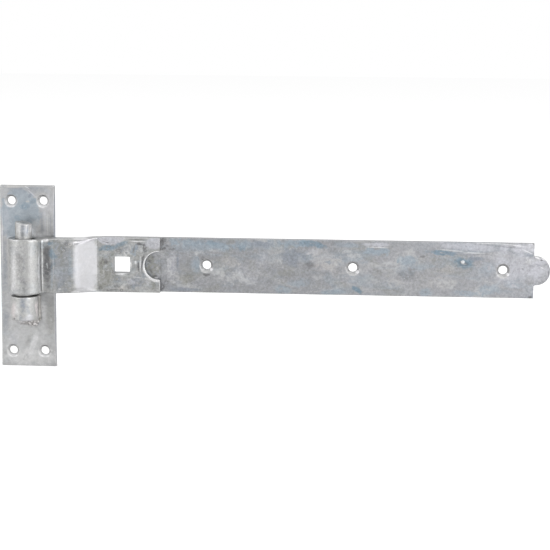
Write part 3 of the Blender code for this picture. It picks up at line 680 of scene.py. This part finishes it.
FLAT_PATCHES = patches_on(FLAT_FACE, (
    (55.7, 7.9, 3.33, 17.4, 0, 0.7, 0.7, 0.78, OLIVE),
    (60.8, 5, 7.25, 15.2, 0, 0.8, 0.8, 0.7, OLIVE),
    # Painted light round the square hole, where its walls catch the light
    (70.4, 10.7, 7.61, 7.61, 0, 0.25, 0.35, 0.5, PALE),
    (61.8, 31.1, 11.2, 6.38, 0, 0.1, 0.04, 0.66, LILAC),
    (61.8, 31.5, 11.6, 0.87, 0, 0.5, 0.1, 0.6, WHITE),
    (60.2, 22.5, 9.06, 2.9, -3, 0.7, 0.5, 0.74, DEEP_BLUE),
    (71.2, 26.2, 5.8, 2.03, -20, 0.6, 0.5, 0.6, DEEP_BLUE),
    (83.6, 25.7, 3.33, 1.45, 0, 0.5, 0.8, 0.9, DARK),
    (81.1, 23.4, 1.74, 3.19, 0, 0.6, 0.9, 0.7, SLATE),
    (86.9, 23.5, 1.45, 2.17, 20, 0.6, 0.9, 0.65, DARK),
    (93.9, 26.5, 6.52, 5.07, 0, 0.3, 0.3, 0.6, LILAC),
    (79.2, 20.8, 2.9, 6.52, 0, 0.6, 0.8, 0.6, BLUE),
    (76.3, 23.6, 1.59, 2.9, 0, 0.6, 0.9, 0.45, PALE),
    (67.4, 0, 3.62, 2.46, 0, 0.7, 0.9, 0.5, SLATE),
    (67.5, 20.6, 2.9, 2.17, 0, 0.7, 0.9, 0.5, DARK),
    (73.4, 21.4, 3.62, 2.9, 0, 0.7, 0.9, 0.45, SLATE),
    (84, 21.6, 2.17, 2.61, 0, 0.6, 0.9, 0.45, PALE),
    (80.5, 12.7, 1.45, 2.46, 0, 0.7, 0.9, 0.6, WHITE),
    (78.9, 16.4, 1.09, 0.87, 0, 0.6, 0.9, 0.6, PALE),
    (82.3, 9.8, 0.942, 5.07, 0, 0.6, 0.5, 0.9, DARK),
    (83.8, 12, 0.725, 6.52, 0, 0.7, 0.4, 0.5, WHITE),
    (85.3, 12.1, 0.942, 6.52, 4, 0.6, 0.4, 0.85, DARK),
    (58.7, 13.1, 1.59, 3.62, 0, 0.6, 0.9, 0.5, DARK),
    (59, 6.5, 1.74, 2.46, 0, 0.6, 0.9, 0.45, DARK),
    (56.5, 18.2, 1.45, 2.17, 0, 0.6, 0.9, 0.4, PALE),
    (81.3, -1.2, 6.52, 7.97, 0, 0.7, 0.6, 0.5, SLATE),
    (75.4, -5.8, 5.07, 2.46, 0, 0.7, 0.9, 0.5, DARK),
    (78.4, -6.4, 1.88, 1.74, 0, 0.7, 0.9, 0.4, BLUE),
    (89.4, -2.6, 2.46, 3.62, 0, 0.7, 0.9, 0.4, LILAC),
    (93, -3.2, 2.9, 3.19, 0, 0.6, 0.8, 0.45, OLIVE),
    (72.5, -6.5, 2.9, 2.46, 0, 0.6, 0.9, 0.6, WARM),
    (72.1, -4.3, 3.26, 1.23, -35, 0.6, 0.8, 0.5, PALE),
    (69.6, -6.6, 2.9, 1.3, -10, 0.6, 0.8, 0.4, WARM),
    (62.9, -7.9, 5.07, 0.942, -4, 0.7, 0.6, 0.5, DARK),
    (56.4, -5.4, 2.9, 2.9, 0, 0.7, 0.9, 0.4, OLIVE),
    (93.8, -4, 2.9, 2.9, 0, 0.7, 0.9, 0.4, OLIVE),
    (86.5, 2.5, 1.45, 3.62, 30, 0.7, 0.8, 0.4, SLATE),
    # Painted highlights on the square hole's walls
    (64.8, 10.2, 1.09, 6.81, 0, 0.5, 0.1, 0.95, WHITE),
    (70, 4.2, 6.81, 1.3, 0, 0.6, 0.1, 0.9, WHITE),
    (76.8, 10.5, 0.725, 5.8, 0, 0.5, 0.3, 0.55, WHITE),
    (73.4, 19.9, 2.17, 3.26, 0, 0.6, 0.9, 0.55, PALE),
    (57.2, 12.3, 3.62, 8.7, 0, 0.8, 0.9, 0.35, DARK),
    (88.7, 12.9, 2.46, 5.07, 0, 0.7, 0.8, 0.35, LILAC),
    (75.5, -1.3, 4.35, 2.9, 0, 0.7, 0.9, 0.4, LILAC),
    (65.9, -5.2, 2.9, 1.45, 0, 0.7, 0.9, 0.55, DARK),
    (53.8, -7.3, 2.17, 1.74, 0, 0.7, 0.9, 0.5, DARK),
    (86.5, 15.8, 0.58, 4.35, 0, 0.7, 0.5, 0.65, DARK),
    (81.1, 13.8, 1.59, 1.88, 0, 0.6, 0.9, 0.55, WARM),
    (79.3, 23.3, 1.16, 3.19, 8, 0.6, 0.9, 0.6, DARK),
    (87.4, 21.3, 1.88, 1.09, 0, 0.6, 0.9, 0.6, DARK),
    (60, -8.3, 2.03, 1.3, 0, 0.6, 0.8, 0.6, DARK),
    (70.3, -8.4, 1.45, 1.3, 0, 0.6, 0.8, 0.6, DARK),
))
FLAT_LINES = patches_on(FLAT_FACE, (
    (81.5, 29.1, 9.42, 0.58, 1, 0.7, 0.1, 0.6, DARK),
    (82.2, 27.8, 7.97, 0.58, 0, 0.7, 0.1, 0.6, WHITE),
))
# On the eye: the first row is painted light over the whole eye and the second the slope's
# painted highlight; the white row on its left and the one by its right-hand edge are painted
# highlights, and the dark rows down its middle are painted shade between them
EYE_PATCHES = patches_on(EYE_FACE, (
    (0.3, 8.4, 14.5, 43.5, 0, 0.4, 0.1, 0.65, EYE_PAINTED_LIGHT),
    (44.9, 11.4, 10.1, 32.6, 0, 0.3, 0.1, 0.7, SLOPE_HIGHLIGHT),
    (2.3, -4, 3.62, 7.25, 0, 0.8, 0.5, 0.3, DARK),
    (-1, 17.9, 3.62, 5.8, 0, 0.8, 0.6, 0.25, DARK),
    (-6, 8.3, 3.48, 27.5, 0, 0.9, 0.2, 0.5, WHITE),
    (-0.8, 9.8, 4.71, 26.1, 0, 0.8, 0.6, 0.26, DARK),
    (2.2, 12.8, 0.87, 15.9, 0, 0.7, 0.6, 0.25, SLATE),
    (12.6, 8.6, 1.16, 21.7, 0, 0.4, 0.1, 0.48, WHITE),
))
# Painted light and shade on the slope: painted shade in the wedge and dark rows at its top,
# and painted highlights in the white rows along its top edge and its foot
SLOPE_PATCHES = patches_on(SLOPE_FACE, (
    (43.6, 28.1, 10.9, 2.1, -9, 0.6, 0.1, 0.95, WEDGE_SHADE),
    (44.7, -8.1, 10.9, 2.03, 5, 0.6, 0.2, 0.25, WHITE),
    (37.4, -8.6, 3.62, 1.16, 0, 0.5, 0.3, 0.6, WHITE),
    (38.9, 26.7, 2.75, 1.38, -4, 0.7, 0.1, 0.9, DARK),
    (40.7, 29.9, 7.25, 1.09, 3, 0.6, 0.1, 0.7, WHITE),
))
CALM_PATCHES = patches_on(CALM_FACE, (
    (44.6, 11.1, 10.9, 32.6, 0, 0.4, 0.1, 0.75, WHITE),
    (6.5, 8.2, 6.52, 43.5, 0, 0.6, 0.1, 0.45, WHITE),
))
NECK_PATCHES = patches_on(NECK_FACE, (
    (28.3, 9.1, 13, 26.1, 0, 0.7, 0.3, 0.45, SLATE),
    (27, 24, 9.42, 3.62, 0, 0.7, 0.6, 0.4, SLATE),
    # Painted shade on the neck where it lies beside the barrel
    (17.6, 11.8, 5.07, 24.6, 0, 0.75, 0.3, 0.97, DARK),
    (18.6, 22, 3.91, 8.7, 0, 0.75, 0.4, 0.8, DARK),
    (21.6, 19.9, 3.91, 10.1, 0, 0.7, 0.5, 0.75, DEEP_BLUE),
    (20.9, 0.1, 1.74, 8.7, 0, 0.7, 0.6, 0.45, BLUE),
    (21.9, 11.9, 0.58, 17.4, 0, 0.7, 0.3, 0.35, PALE),
    (27.8, 23.6, 3.62, 5.8, 0, 0.6, 0.8, 0.55, OLIVE),
    (31.4, 25.5, 2.9, 4.35, 0, 0.7, 0.8, 0.5, DARK),
    (28.4, 12, 4.35, 6.52, 0, 0.8, 0.9, 0.4, OLIVE),
    (27.5, -1.9, 5.07, 5.07, 0, 0.8, 0.9, 0.4, SLATE),
    (34.2, 13.5, 2.17, 14.5, 0, 0.8, 0.5, 0.35, BLUE),
    (29.8, 21.9, 1.01, 0.652, 0, 0.6, 0.9, 0.3, WHITE),
    (30.6, 16.8, 0.725, 0.58, 0, 0.6, 0.9, 0.5, PALE),
    (30.8, -2.2, 1.59, 0.87, 20, 0.6, 0.9, 0.65, PALE),
    (26.7, -6.3, 1.09, 0.797, 0, 0.5, 0.9, 0.55, PALE),
    (34.4, 26.3, 1.74, 1.16, 0, 0.6, 0.6, 0.65, WARM),
    # A painted shadow line in the crease between barrel and neck, then a painted highlight in
    # the fillet beside it
    (12.9, 8.8, 0.507, 20.3, -1.2, 0.6, 0.1, 0.6, DARK),
    (13.9, 8.8, 0.58, 21.7, -0.6, 0.5, 0.1, 0.2, WHITE),
    (16.6, 29, 3.04, 1.88, 0, 0.5, 0.3, 0.8, PALE),
    # A painted highlight along the neck's top edge
    (28.6, 30.5, 11.6, 1.01, 0, 0.6, 0.2, 0.55, WHITE),
    (19.1, 26.4, 1.88, 2.46, 30, 0.6, 0.5, 0.75, DEEP_BLUE),
))
PLATE_PATCHES = patches_on(PLATE_FACE, (
    (-5.2, 44.4, 15.6, 21, 0, 0.12, 0.12, 0.68, BLUE),
    (-1.4, 51.8, 4.35, 3.62, 0, 0.6, 0.6, 0.4, DEEP_BLUE),
    (-7.4, 42.9, 2.9, 2.9, 0, 0.7, 0.7, 0.35, DEEP_BLUE),
    (-15.6, 39.8, 5.07, 13, 0, 0.8, 0.5, 0.3, LILAC),
    (2.1, 59.3, 1.09, 2.03, 35, 0.5, 0.3, 0.7, SLATE),
    (0.5, 55.2, 1.74, 1.01, 0, 0.5, 0.6, 0.6, WARM),
    (4.5, 55.5, 3.62, 1.74, -30, 0.6, 0.5, 0.35, DEEP_BLUE),
    (6.5, 35.7, 3.62, 10.1, 0, 0.8, 0.5, 0.45, PALE),
    (14.8, 52, 5.07, 10.1, 0, 0.7, 0.7, 0.3, LILAC),
    (13.3, 40.2, 0.652, 10.9, 0, 0.7, 0.3, 0.6, LILAC),
    (14.8, 38.1, 0.652, 10.1, 0, 0.7, 0.3, 0.65, PALE),
    (17.2, 38.8, 0.87, 8.7, 0, 0.7, 0.5, 0.4, SLATE),
    (-17.5, 10.2, 2.9, 31.9, 0, 0.8, 0.5, 0.4, SLATE),
    (-17.5, -34.4, 3.62, 14.5, 0, 0.8, 0.6, 0.45, SLATE),
    # Painted shadow under the band
    (14, -17.4, 7.25, 3.62, 0, 0.7, 0.5, 0.45, SLATE),
    (11.7, -23.4, 3.62, 5.8, 0, 0.8, 0.4, 0.3, WARM),
    (-0.5, -47.6, 24.6, 18.8, 0, 0.6, 0.4, 0.35, PALE),
    (-0.7, -61.1, 24.6, 9.42, 0, 0.7, 0.4, 0.85, PALE),
    (-0.2, -46.8, 2.17, 7.97, 22, 0.7, 0.2, 0.28, OLIVE),
    (3.7, -50.5, 2.9, 13.8, 20, 0.6, 0.12, 0.28, WHITE),
    (-12.5, -46.3, 5.8, 6.52, 0, 0.8, 0.7, 0.3, LILAC),
    (-10.8, 65.5, 9.42, 1.16, 0, 0.7, 0.3, 0.5, WARM),
    (6.1, 65, 8.7, 1.16, 0, 0.7, 0.5, 0.3, SLATE),
    # Painted light beside the pin, over its shade and its reflection in the plate
    (4.2, 32.7, 2.9, 8.7, 0, 0.9, 0.1, 0.6, WHITE),
    (7.2, 33.5, 5.07, 9.42, 0, 0.9, 0.2, 0.3, WHITE),
    (10.9, 37.3, 1.59, 10.1, 0, 0.7, 0.4, 0.4, SLATE),
    (16.8, -29.3, 5.8, 18.8, 0, 0.7, 0.3, 0.4, OLIVE),
    (0.2, 63.5, 21.7, 5.07, 0, 0.8, 0.4, 0.3, SLATE),
    (-1.8, 51.4, 2.17, 1.59, 0, 0.6, 0.6, 0.45, DEEP_BLUE),
    # Painted shadow under the band
    (8.9, -10.8, 13, 2.9, 0, 0.7, 0.3, 0.3, SLATE),
    (-7.9, 64.4, 10.9, 0.507, 0, 0.6, 0.3, 0.45, SLATE),
    (-7.8, 66.4, 12.3, 0.58, 0, 0.6, 0.3, 0.5, WARM),
    # Painted shadow under the band
    (14.7, -17.4, 6.52, 4.35, 0, 0.7, 0.3, 0.3, WARM),
    # Painted light over the shadow that the eye's top casts on the plate
    (10.1, 29.5, 9.42, 4.35, 0, 0.8, 0.2, 0.62, WHITE),
    (-12.1, 27.7, 3.62, 2.17, 0, 0.8, 0.2, 0.5, WHITE),
    # Painted light over the shade beside the boss
    (10.9, -23.4, 4.35, 10.9, 0, 0.8, 0.3, 0.45, WHITE),
))
PLATE_LINES = patches_on(PLATE_FACE, (
    (3.9, 60.9, 7.61, 0.58, 42, 0.7, 0.1, 0.75, LILAC),
    (0.3, 65.3, 2.9, 0.507, 30, 0.8, 0.1, 0.45, WHITE),
    (-18.5, 26.5, 0.652, 36.2, 0, 0.8, 0.05, 0.35, WHITE),
))
PIN_PATCHES = patches_on(PIN_FACE, (
    (0.3, 41, 1.88, 0.58, 0, 0.8, 0.4, 0.5, DARK),
    (0.7, 39.2, 1.74, 0.58, 4, 0.8, 0.4, 0.45, DARK),
    (1.1, 37.3, 1.59, 0.652, -3, 0.8, 0.4, 0.45, DARK),
    # Painted shade down the pin's middle, between its highlights
    (0.6, 33.4, 2.25, 3.48, 0, 0.7, 0.3, 0.62, DARK),
    (2.4, 35.2, 0.725, 5.8, 0, 0.7, 0.5, 0.4, SLATE),
    (4, 37.4, 0.797, 5.07, 8, 0.7, 0.5, 0.8, SLATE),
    # Painted highlight down the pin's right-hand side
    (7.1, 37.4, 2.32, 8.7, 0, 0.5, 0.2, 0.95, WHITE),
    # Painted highlight on the pin's left
    (-4, 37.3, 1.16, 7.25, 0, 0.7, 0.3, 0.5, PALE),
    # Painted shade down the pin's middle
    (0.6, 37.3, 3.04, 8.7, 0, 0.9, 0.2, 0.56, SLATE),
    (3.2, 32.3, 2.54, 2.17, 0, 0.7, 0.4, 0.35, SLATE),
    # Painted shade down the pin's left edge
    (-5.2, 37.2, 0.87, 8.7, 0, 0.6, 0.3, 0.7, OLIVE),
))
BOSS_PATCHES = patches_on(BOSS_FACE, (
    # Pink tint with a painted sheen on the boss's left side
    (-6.6, -20.8, 3.48, 9.42, 0, 0.8, 0.4, 0.58, ROSE_SHEEN),
    (1.1, -18.5, 3.62, 8.7, 0, 0.8, 0.4, 0.84, SLATE),
    (-0.8, -25.9, 1.74, 4.35, 0, 0.8, 0.5, 0.4, SLATE),
    (4.1, -19.9, 2.17, 7.25, 0, 0.7, 0.5, 0.45, SLATE),
    # Painted highlight low on the boss's right
    (4, -26.9, 3.99, 3.33, 0, 0.5, 0.5, 0.4, LILAC),
    # Pink tint with a painted sheen down the boss's right side
    (10.3, -21.2, 2.32, 9.42, 0, 0.5, 0.3, 0.9, ROSE_SHEEN),
    (-4.4, -22.3, 1.59, 2.17, 0, 0.6, 0.9, 0.4, PALE),
    (-5.9, -27.8, 0.797, 0.725, 0, 0.5, 0.6, 0.7, DARK),
    (-4.1, -25.6, 1.16, 0.725, 0, 0.6, 0.9, 0.4, DARK),
    (-4.9, -30, 3.62, 0.87, 0, 0.6, 0.9, 0.4, WHITE),
    # Painted light down the boss's right-hand edge
    (11.4, -19.8, 3.19, 10.9, 0, 0.8, 0.2, 0.35, WHITE),
))
WELD_PATCHES = patches_on(WELD_FACE, (
    (9.2, -23.5, 2.46, 12.3, 0, 0.4, 0.1, 0.5, OLIVE),
    (-7.7, -33.5, 5.8, 2.46, 8, 0.6, 0.3, 0.6, WHITE),
))
# Painted highlights: a bright ring along the notch's rounded rim and bright lines down the
# front layer's end
NOTCH_RIM = patches_on(FLAT_FACE, (
    (97.1, 10.2, 11.3, 11.3, 0, 0.07, 0.04, 0.75, WHITE),
    (97.4, 9.5, 12.1, 11.9, 0, 0.08, 0.03, 0.55, WHITE),
), hollow=0.88) + patches_on(FLAT_FACE, (
    (98.2, 25.8, 0.62, 5.6, 0, 0.5, 0.05, 0.85, WHITE),
    (98.2, -5.2, 0.62, 5.2, 0, 0.5, 0.05, 0.85, WHITE),
))
PLATE_MATT = patches_on(PLATE_FACE, ((3.6, 31, 5, 11, 0, 0.8, 0.1, 0.6, WHITE),))
PLATE_SIDES = patches_on(PLATE_EDGE, (
    (20.3, 35, 1.2, 34, 0, 0.3, 0.05, 0.85, SLATE),
    (20.3, -35, 1.2, 34, 0, 0.3, 0.05, 0.5, SLATE),
))

# The countersinks: each has a pale cone, with painted shade on its rim and painted light at
# its foot
PLATE_SINKS = patches_on(HOLE_FACE, (
    (x, z, 5.2, 5.2, 0, 0.2, 0.05, 0.8, PALE) for x, z in PLATE_HOLES))
PLATE_SINK_RIMS = patches_on(HOLE_FACE, (
    row for x, z in PLATE_HOLES for row in (
        (x, z + 3.9, 3.6, 0.7, 0, 0.5, 0.2, 0.5, DARK),
        (x, z - 3.7, 3.8, 1.3, 0, 0.5, 0.2, 0.55, WHITE))))
BAND_SINKS = patches_on(HOLE_FACE, (
    (x, BAND_MIDDLE_Z, 5.6, 5.6, 0, 0.2, 0.05, 0.8, PALE) for x in BAND_HOLES))


def band_sink_rim(x):
    """Painted shade in a ring, painted light at the foot and a painted highlight for one
    countersink.
    """
    ring = (x, BAND_MIDDLE_Z + 0.1, 5.0, 5.0, 0, 0.25, 0.05, 0.65, DARK)
    foot = (x, BAND_MIDDLE_Z - 3.6, 4.6, 2.6, 0, 0.4, 0.1, 0.8, PALE)
    spark = (x + 3.4, BAND_MIDDLE_Z - 2.7, 1.5, 1.4, 0, 0.5, 0.3, 0.9, WHITE)
    return (patches_on(HOLE_FACE, (ring,), hollow=0.78)
            + patches_on(HOLE_FACE, (foot, spark)))


BAND_SINK_RIMS = sum((band_sink_rim(x) for x in BAND_HOLES), ())


def reaching(patches, low, high):
    """The patches that can show in a stretch of the band, in mm along it."""
    kept = []
    for patch in patches:
        centre, reach = patch[:2]
        spill = RAGGED_SPILL * reach[0]
        if centre[0] - spill < high and centre[0] + spill > low:
            kept.append(patch)
    return tuple(kept)


# The zinc skins
CLOUD_TINTS = (("Pale", PALE), ("Deep", OLIVE), ("Blue", BLUE))
UNREST_SIZE = 0.006
UNREST_SWING = 5.0
DEEP_ROUGHENS = 0.08
PALE_SMOOTHS = 0.05


def empty_material(name):
    """A new material with no nodes, and a bench to build them on."""
    material = bpy.data.materials.new(name)
    material.use_nodes = True
    material.node_tree.nodes.clear()
    return material, Bench(material.node_tree)


def laid_patch(bench, place, unrest, patch):
    """The mask and the tint of one patch, given in mm and degrees."""
    centre, reach, lean, softness, ragged, hollow, share, tint = patch
    node = bench.group(GROUPS["patch"], {
        "Vector": place, "Unrest": unrest, "Lean": math.radians(-lean),
        "Centre": [length / MM_PER_METRE for length in centre],
        "Reach": [length / MM_PER_METRE for length in reach],
        "Softness": softness, "Ragged": ragged, "Hollow": hollow, "Share": share})
    return node.outputs["Mask"], tint


def zinc_material(name, tone, roughness, grain_size, grain_strength, clouds, patches, runs,
                  bump, rim_highlight_share, calm=(), matt=()):
    """Galvanised skin: clouds, patches of tint and of painted light and shade, and runs on one
    tone, under grain and painted rim highlights.
    """
    material, bench = empty_material(name)
    place = bench.add("ShaderNodeTexCoord").outputs["Object"]
    grain = bench.group(GROUPS["grain"], {
        "Vector": place, "Size": grain_size, "Strength": grain_strength})
    colour = tuple(tone) + (1,)
    for cloud_size, shares in clouds:
        cloud = bench.group(GROUPS["clouds"], {"Vector": place, "Size": cloud_size})
        for label, tint in CLOUD_TINTS:
            share = bench.sum("MULTIPLY", cloud.outputs[label], shares[label])
            colour = bench.blend(share, colour, tint)
    unrest = bench.cloud(place, UNREST_SIZE, detail=4.0, roughness=0.65, distortion=0.5)
    unrest = bench.sum("MULTIPLY_ADD", unrest, UNREST_SWING, -UNREST_SWING / 2)
    for patch in patches:
        mask, tint = laid_patch(bench, place, unrest, patch)
        colour = bench.blend(mask, colour, tint)
    stretched = bench.turn("MULTIPLY", place, (runs["stretch"], 1, 1))
    run = bench.group(GROUPS["runs"], {
        "Vector": stretched, "Size": runs["size"], "Lines": runs["lines"],
        "Width": runs["width"]})
    run_share = bench.sum("MULTIPLY", run.outputs["Line"], runs["strength"])
    colour = bench.blend(run_share, colour, PALE)
    lively = 1.0
    for patch in calm:
        mask, _ = laid_patch(bench, place, unrest, patch)
        lively = bench.sum("SUBTRACT", lively, mask, clamp=True)
    grained = bench.blend(1.0, colour, grain.outputs["Tone"], "MULTIPLY")
    shade = bench.blend(lively, colour, grained)
    # Painted highlight along the sharp rims, broken up a little
    edge = bench.group(GROUPS["rim"], {"Vector": place, "Strength": rim_highlight_share})
    shade = bench.blend(edge.outputs["Mask"], shade, RIM_HIGHLIGHT)
    rough = bench.sum("MULTIPLY_ADD", cloud.outputs["Deep"], DEEP_ROUGHENS, roughness)
    rough = bench.sum("MULTIPLY_ADD", cloud.outputs["Pale"], -PALE_SMOOTHS, rough)
    for patch in matt:
        mask, _ = laid_patch(bench, place, unrest, patch)
        rough = bench.blend(mask, rough, MATT)
    height = bench.sum("MULTIPLY_ADD", run.outputs["Line"], runs["height"],
                       grain.outputs["Height"])
    bumped = bench.add("ShaderNodeBump", {
        "Height": height, "Strength": 1.0, "Distance": bump})
    skin = bench.add("ShaderNodeBsdfPrincipled", {
        "Base Color": shade, "Roughness": rough, "Metallic": 1.0,
        "Normal": bumped.outputs[0]})
    bench.add("ShaderNodeOutputMaterial", {"Surface": skin.outputs[0]})
    return material


def band_material(name, tone, mottle, patches, calm=(), matt=()):
    """One stretch of the band's skin, more or less mottled."""
    broad = {"Pale": 0.42, "Deep": 0.42, "Blue": 0.45}
    small = {"Pale": 0.25 * mottle, "Deep": 0.32 * mottle, "Blue": 0.22 * mottle}
    return zinc_material(
        name, tone, roughness=0.38, grain_size=0.0018,
        grain_strength=0.24 + 0.12 * mottle, clouds=((0.015, broad), (0.0048, small)),
        patches=patches,
        runs={"stretch": 0.35, "size": 0.02, "lines": 6.0, "width": 0.05,
              "strength": 0.2, "height": 0.05},
        bump=0.00005, rim_highlight_share=0.5, calm=calm, matt=matt)


def band_skins():
    """The skins of the fold and of the strap's near and far stretches."""
    fold = (EYE_PATCHES + FLAT_PATCHES + FLAT_LINES + NECK_PATCHES + SLOPE_PATCHES
            + NOTCH_RIM)
    strap = STRAP_PATCHES + STRAP_LINES + BAND_SINKS + BAND_SINK_RIMS
    return (
        band_material("zinc_fold", (0.302, 0.304, 0.301), 1.0, fold, calm=CALM_PATCHES),
        band_material("zinc_near_strap", (0.268, 0.272, 0.285), 0.8,
                      reaching(strap, 0, STRAP_MIDDLE),
                      matt=reaching(BAND_SINKS, 0, STRAP_MIDDLE)),
        band_material("zinc_far_strap", (0.302, 0.305, 0.320), 0.55,
                      reaching(strap, STRAP_MIDDLE, STRAP_END),
                      matt=reaching(BAND_SINKS, STRAP_MIDDLE, STRAP_END)))


def plate_skin():
    """The plate's skin, paler than the band's, matt in its sinks and behind the pin."""
    return zinc_material(
        "zinc_plate", (0.372, 0.373, 0.377), roughness=0.42, grain_size=0.0028,
        grain_strength=0.18,
        clouds=((0.018, {"Pale": 0.35, "Deep": 0.12, "Blue": 0.15}),
                (0.006, {"Pale": 0.25, "Deep": 0.20, "Blue": 0.15})),
        patches=PLATE_PATCHES + PLATE_LINES + PLATE_SIDES + PLATE_SINKS + PLATE_SINK_RIMS,
        runs={"stretch": 0.6, "size": 0.03, "lines": 4.0, "width": 0.05,
              "strength": 0.12, "height": 0.05},
        bump=0.00004, rim_highlight_share=0.5, matt=PLATE_SINKS + PLATE_MATT)


def pin_skin():
    """The skin of the pin and its boss, with rings where the pin was turned."""
    return zinc_material(
        "zinc_pin", (0.40, 0.40, 0.395), roughness=0.48, grain_size=0.0022,
        grain_strength=0.24,
        clouds=((0.010, {"Pale": 0.3, "Deep": 0.25, "Blue": 0.1}),
                (0.004, {"Pale": 0.3, "Deep": 0.30, "Blue": 0.1})),
        patches=PIN_PATCHES + BOSS_PATCHES,
        runs={"stretch": 1, "size": 0.012, "lines": 4.0, "width": 0.06,
              "strength": 0.2, "height": 0.1},
        bump=0.00006, rim_highlight_share=0.3)


def weld_skin():
    """The weld's lumpy skin, matt up its right-hand side."""
    return zinc_material(
        "zinc_weld", (0.50, 0.485, 0.48), roughness=0.55, grain_size=0.0018,
        grain_strength=0.2, clouds=((0.006, {"Pale": 0.3, "Deep": 0.3, "Blue": 0.05}),),
        patches=WELD_PATCHES,
        runs={"stretch": 1, "size": 0.01, "lines": 3.0, "width": 0.06,
              "strength": 0.2, "height": 0.2},
        bump=0.0001, rim_highlight_share=0.0, matt=WELD_PATCHES[:1])


def share_out_skins(band):
    """Lays the strap's two skins on its faces. The fold keeps the first one."""
    for face in band.data.polygons:
        if face.center.y > STRAP_START_Y and face.center.x > STRAP_START_X:
            near = face.center.x * MM_PER_METRE < STRAP_MIDDLE
            face.material_index = 1 if near else 2


# The hinge
plate = dressed_plate()
band = dressed_band()
pin = dressed_pin()
weld = dressed_weld()

for piece, skins, body, node, slot in (
        (plate, (plate_skin(),), "hook", "hook_plate", "zinc_plate"),
        (pin, (pin_skin(),), "hook", "hook_pin", "zinc_pin"),
        (weld, (weld_skin(),), "hook", "boss_weld", "zinc_weld"),
        (band, band_skins(), "band", "band", "zinc_band")):
    piece.data.materials.clear()
    for skin in skins:
        piece.data.materials.append(skin)
    if piece in (plate, band):
        keep_flats_flat(piece)
    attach(piece, body)
    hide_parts(node)
share_out_skins(band)


# The studio
def lay_floor():
    """A pale floor at the plate's foot, dimmer in the zinc than to the camera."""
    side = FLOOR_HALF_SIDE
    mesh = bpy.data.meshes.new("floor")
    mesh.from_pydata([(-side, -side, FLOOR_Z), (side, -side, FLOOR_Z),
                      (side, side, FLOOR_Z), (-side, side, FLOOR_Z)], [], [(0, 1, 2, 3)])
    floor = bpy.data.objects.new("floor", mesh)
    bpy.context.scene.collection.objects.link(floor)
    skin, bench = empty_material("pale_floor")
    rays = bench.add("ShaderNodeLightPath").outputs
    shine = bench.sum("MULTIPLY_ADD", rays["Is Camera Ray"], FLOOR_SEEN,
                      bench.sum("MULTIPLY", rays["Is Glossy Ray"], FLOOR_MIRRORED))
    paint = bench.add("ShaderNodeBsdfPrincipled", {
        "Base Color": FLOOR_PAINT, "Roughness": FLOOR_ROUGHNESS,
        "Specular IOR Level": 0.0, "Emission Color": (1, 1, 1, 1),
        "Emission Strength": shine})
    bench.add("ShaderNodeOutputMaterial", {"Surface": paint.outputs[0]})
    mesh.materials.append(skin)


def hang_sky():
    """An even white sky, a little brighter where it is seen or mirrored."""
    world = bpy.data.worlds.new("studio")
    bpy.context.scene.world = world
    world.use_nodes = True
    world.node_tree.nodes.clear()
    bench = Bench(world.node_tree)
    rays = bench.add("ShaderNodeLightPath").outputs
    seen = bench.sum("MAXIMUM", rays["Is Camera Ray"],
                     bench.sum("MAXIMUM", rays["Is Glossy Ray"], rays["Is Transmission Ray"]))
    strength = bench.add("ShaderNodeMapRange", {
        "Value": seen, "To Min": SKY_LIGHT, "To Max": SKY_SEEN}).outputs[0]
    sky = bench.add("ShaderNodeBackground", {"Color": (1, 1, 1, 1), "Strength": strength})
    bench.add("ShaderNodeOutputWorld", {"Surface": sky.outputs[0]})


def soft_box(name, azimuth, height, size, power):
    """A soft lamp that looks at the hinge from one side, by angles in degrees."""
    lamp = bpy.data.lights.new(name, "AREA")
    lamp.shape = "RECTANGLE"
    lamp.size, lamp.size_y = size
    lamp.energy = power
    holder = bpy.data.objects.new(name, lamp)
    turn, rise = math.radians(azimuth), math.radians(height)
    way = Vector((math.sin(turn) * math.cos(rise), -math.cos(turn) * math.cos(rise),
                  math.sin(rise)))
    holder.location = LAMP_TARGET + way * LAMP_DISTANCE
    holder.rotation_euler = (-way).to_track_quat("-Z", "Y").to_euler()
    holder.visible_camera = False
    bpy.context.scene.collection.objects.link(holder)


def stand_camera():
    """The camera where the photo was taken from."""
    ahead = Vector((-math.sin(CAMERA_LEFT) * math.cos(CAMERA_DOWN),
                    math.cos(CAMERA_LEFT) * math.cos(CAMERA_DOWN), -math.sin(CAMERA_DOWN)))
    level = ahead.cross(Vector((0, 0, 1))).normalized()
    upright = level.cross(ahead)
    camera_x = level * math.cos(CAMERA_ROLL) + upright * math.sin(CAMERA_ROLL)
    camera_y = upright * math.cos(CAMERA_ROLL) - level * math.sin(CAMERA_ROLL)
    camera = bpy.data.objects.new("camera", bpy.data.cameras.new("camera"))
    camera.matrix_world = Matrix.Translation(CAMERA_PLACE) @ Matrix(
        (camera_x, camera_y, -ahead)).transposed().to_4x4()
    camera.data.sensor_width = SENSOR_MM
    camera.data.lens = CAMERA_FOCUS_PX / PHOTO_WIDTH_PX * SENSOR_MM
    bpy.context.scene.collection.objects.link(camera)
    bpy.context.scene.camera = camera


lay_floor()
hang_sky()
soft_box("right_soft_box", azimuth=38, height=14, size=(1.2, 1.8), power=27)
soft_box("left_soft_box", azimuth=-46, height=14, size=(1.2, 1.8), power=19)
soft_box("far_right_soft_box", azimuth=76, height=14, size=(1.4, 1.8), power=17)
soft_box("far_left_soft_box", azimuth=-100, height=24, size=(1.2, 1.8), power=5)
soft_box("top_soft_box", azimuth=-20, height=78, size=(1.6, 1.6), power=5)
stand_camera()
bpy.context.scene.view_settings.view_transform = "Standard"
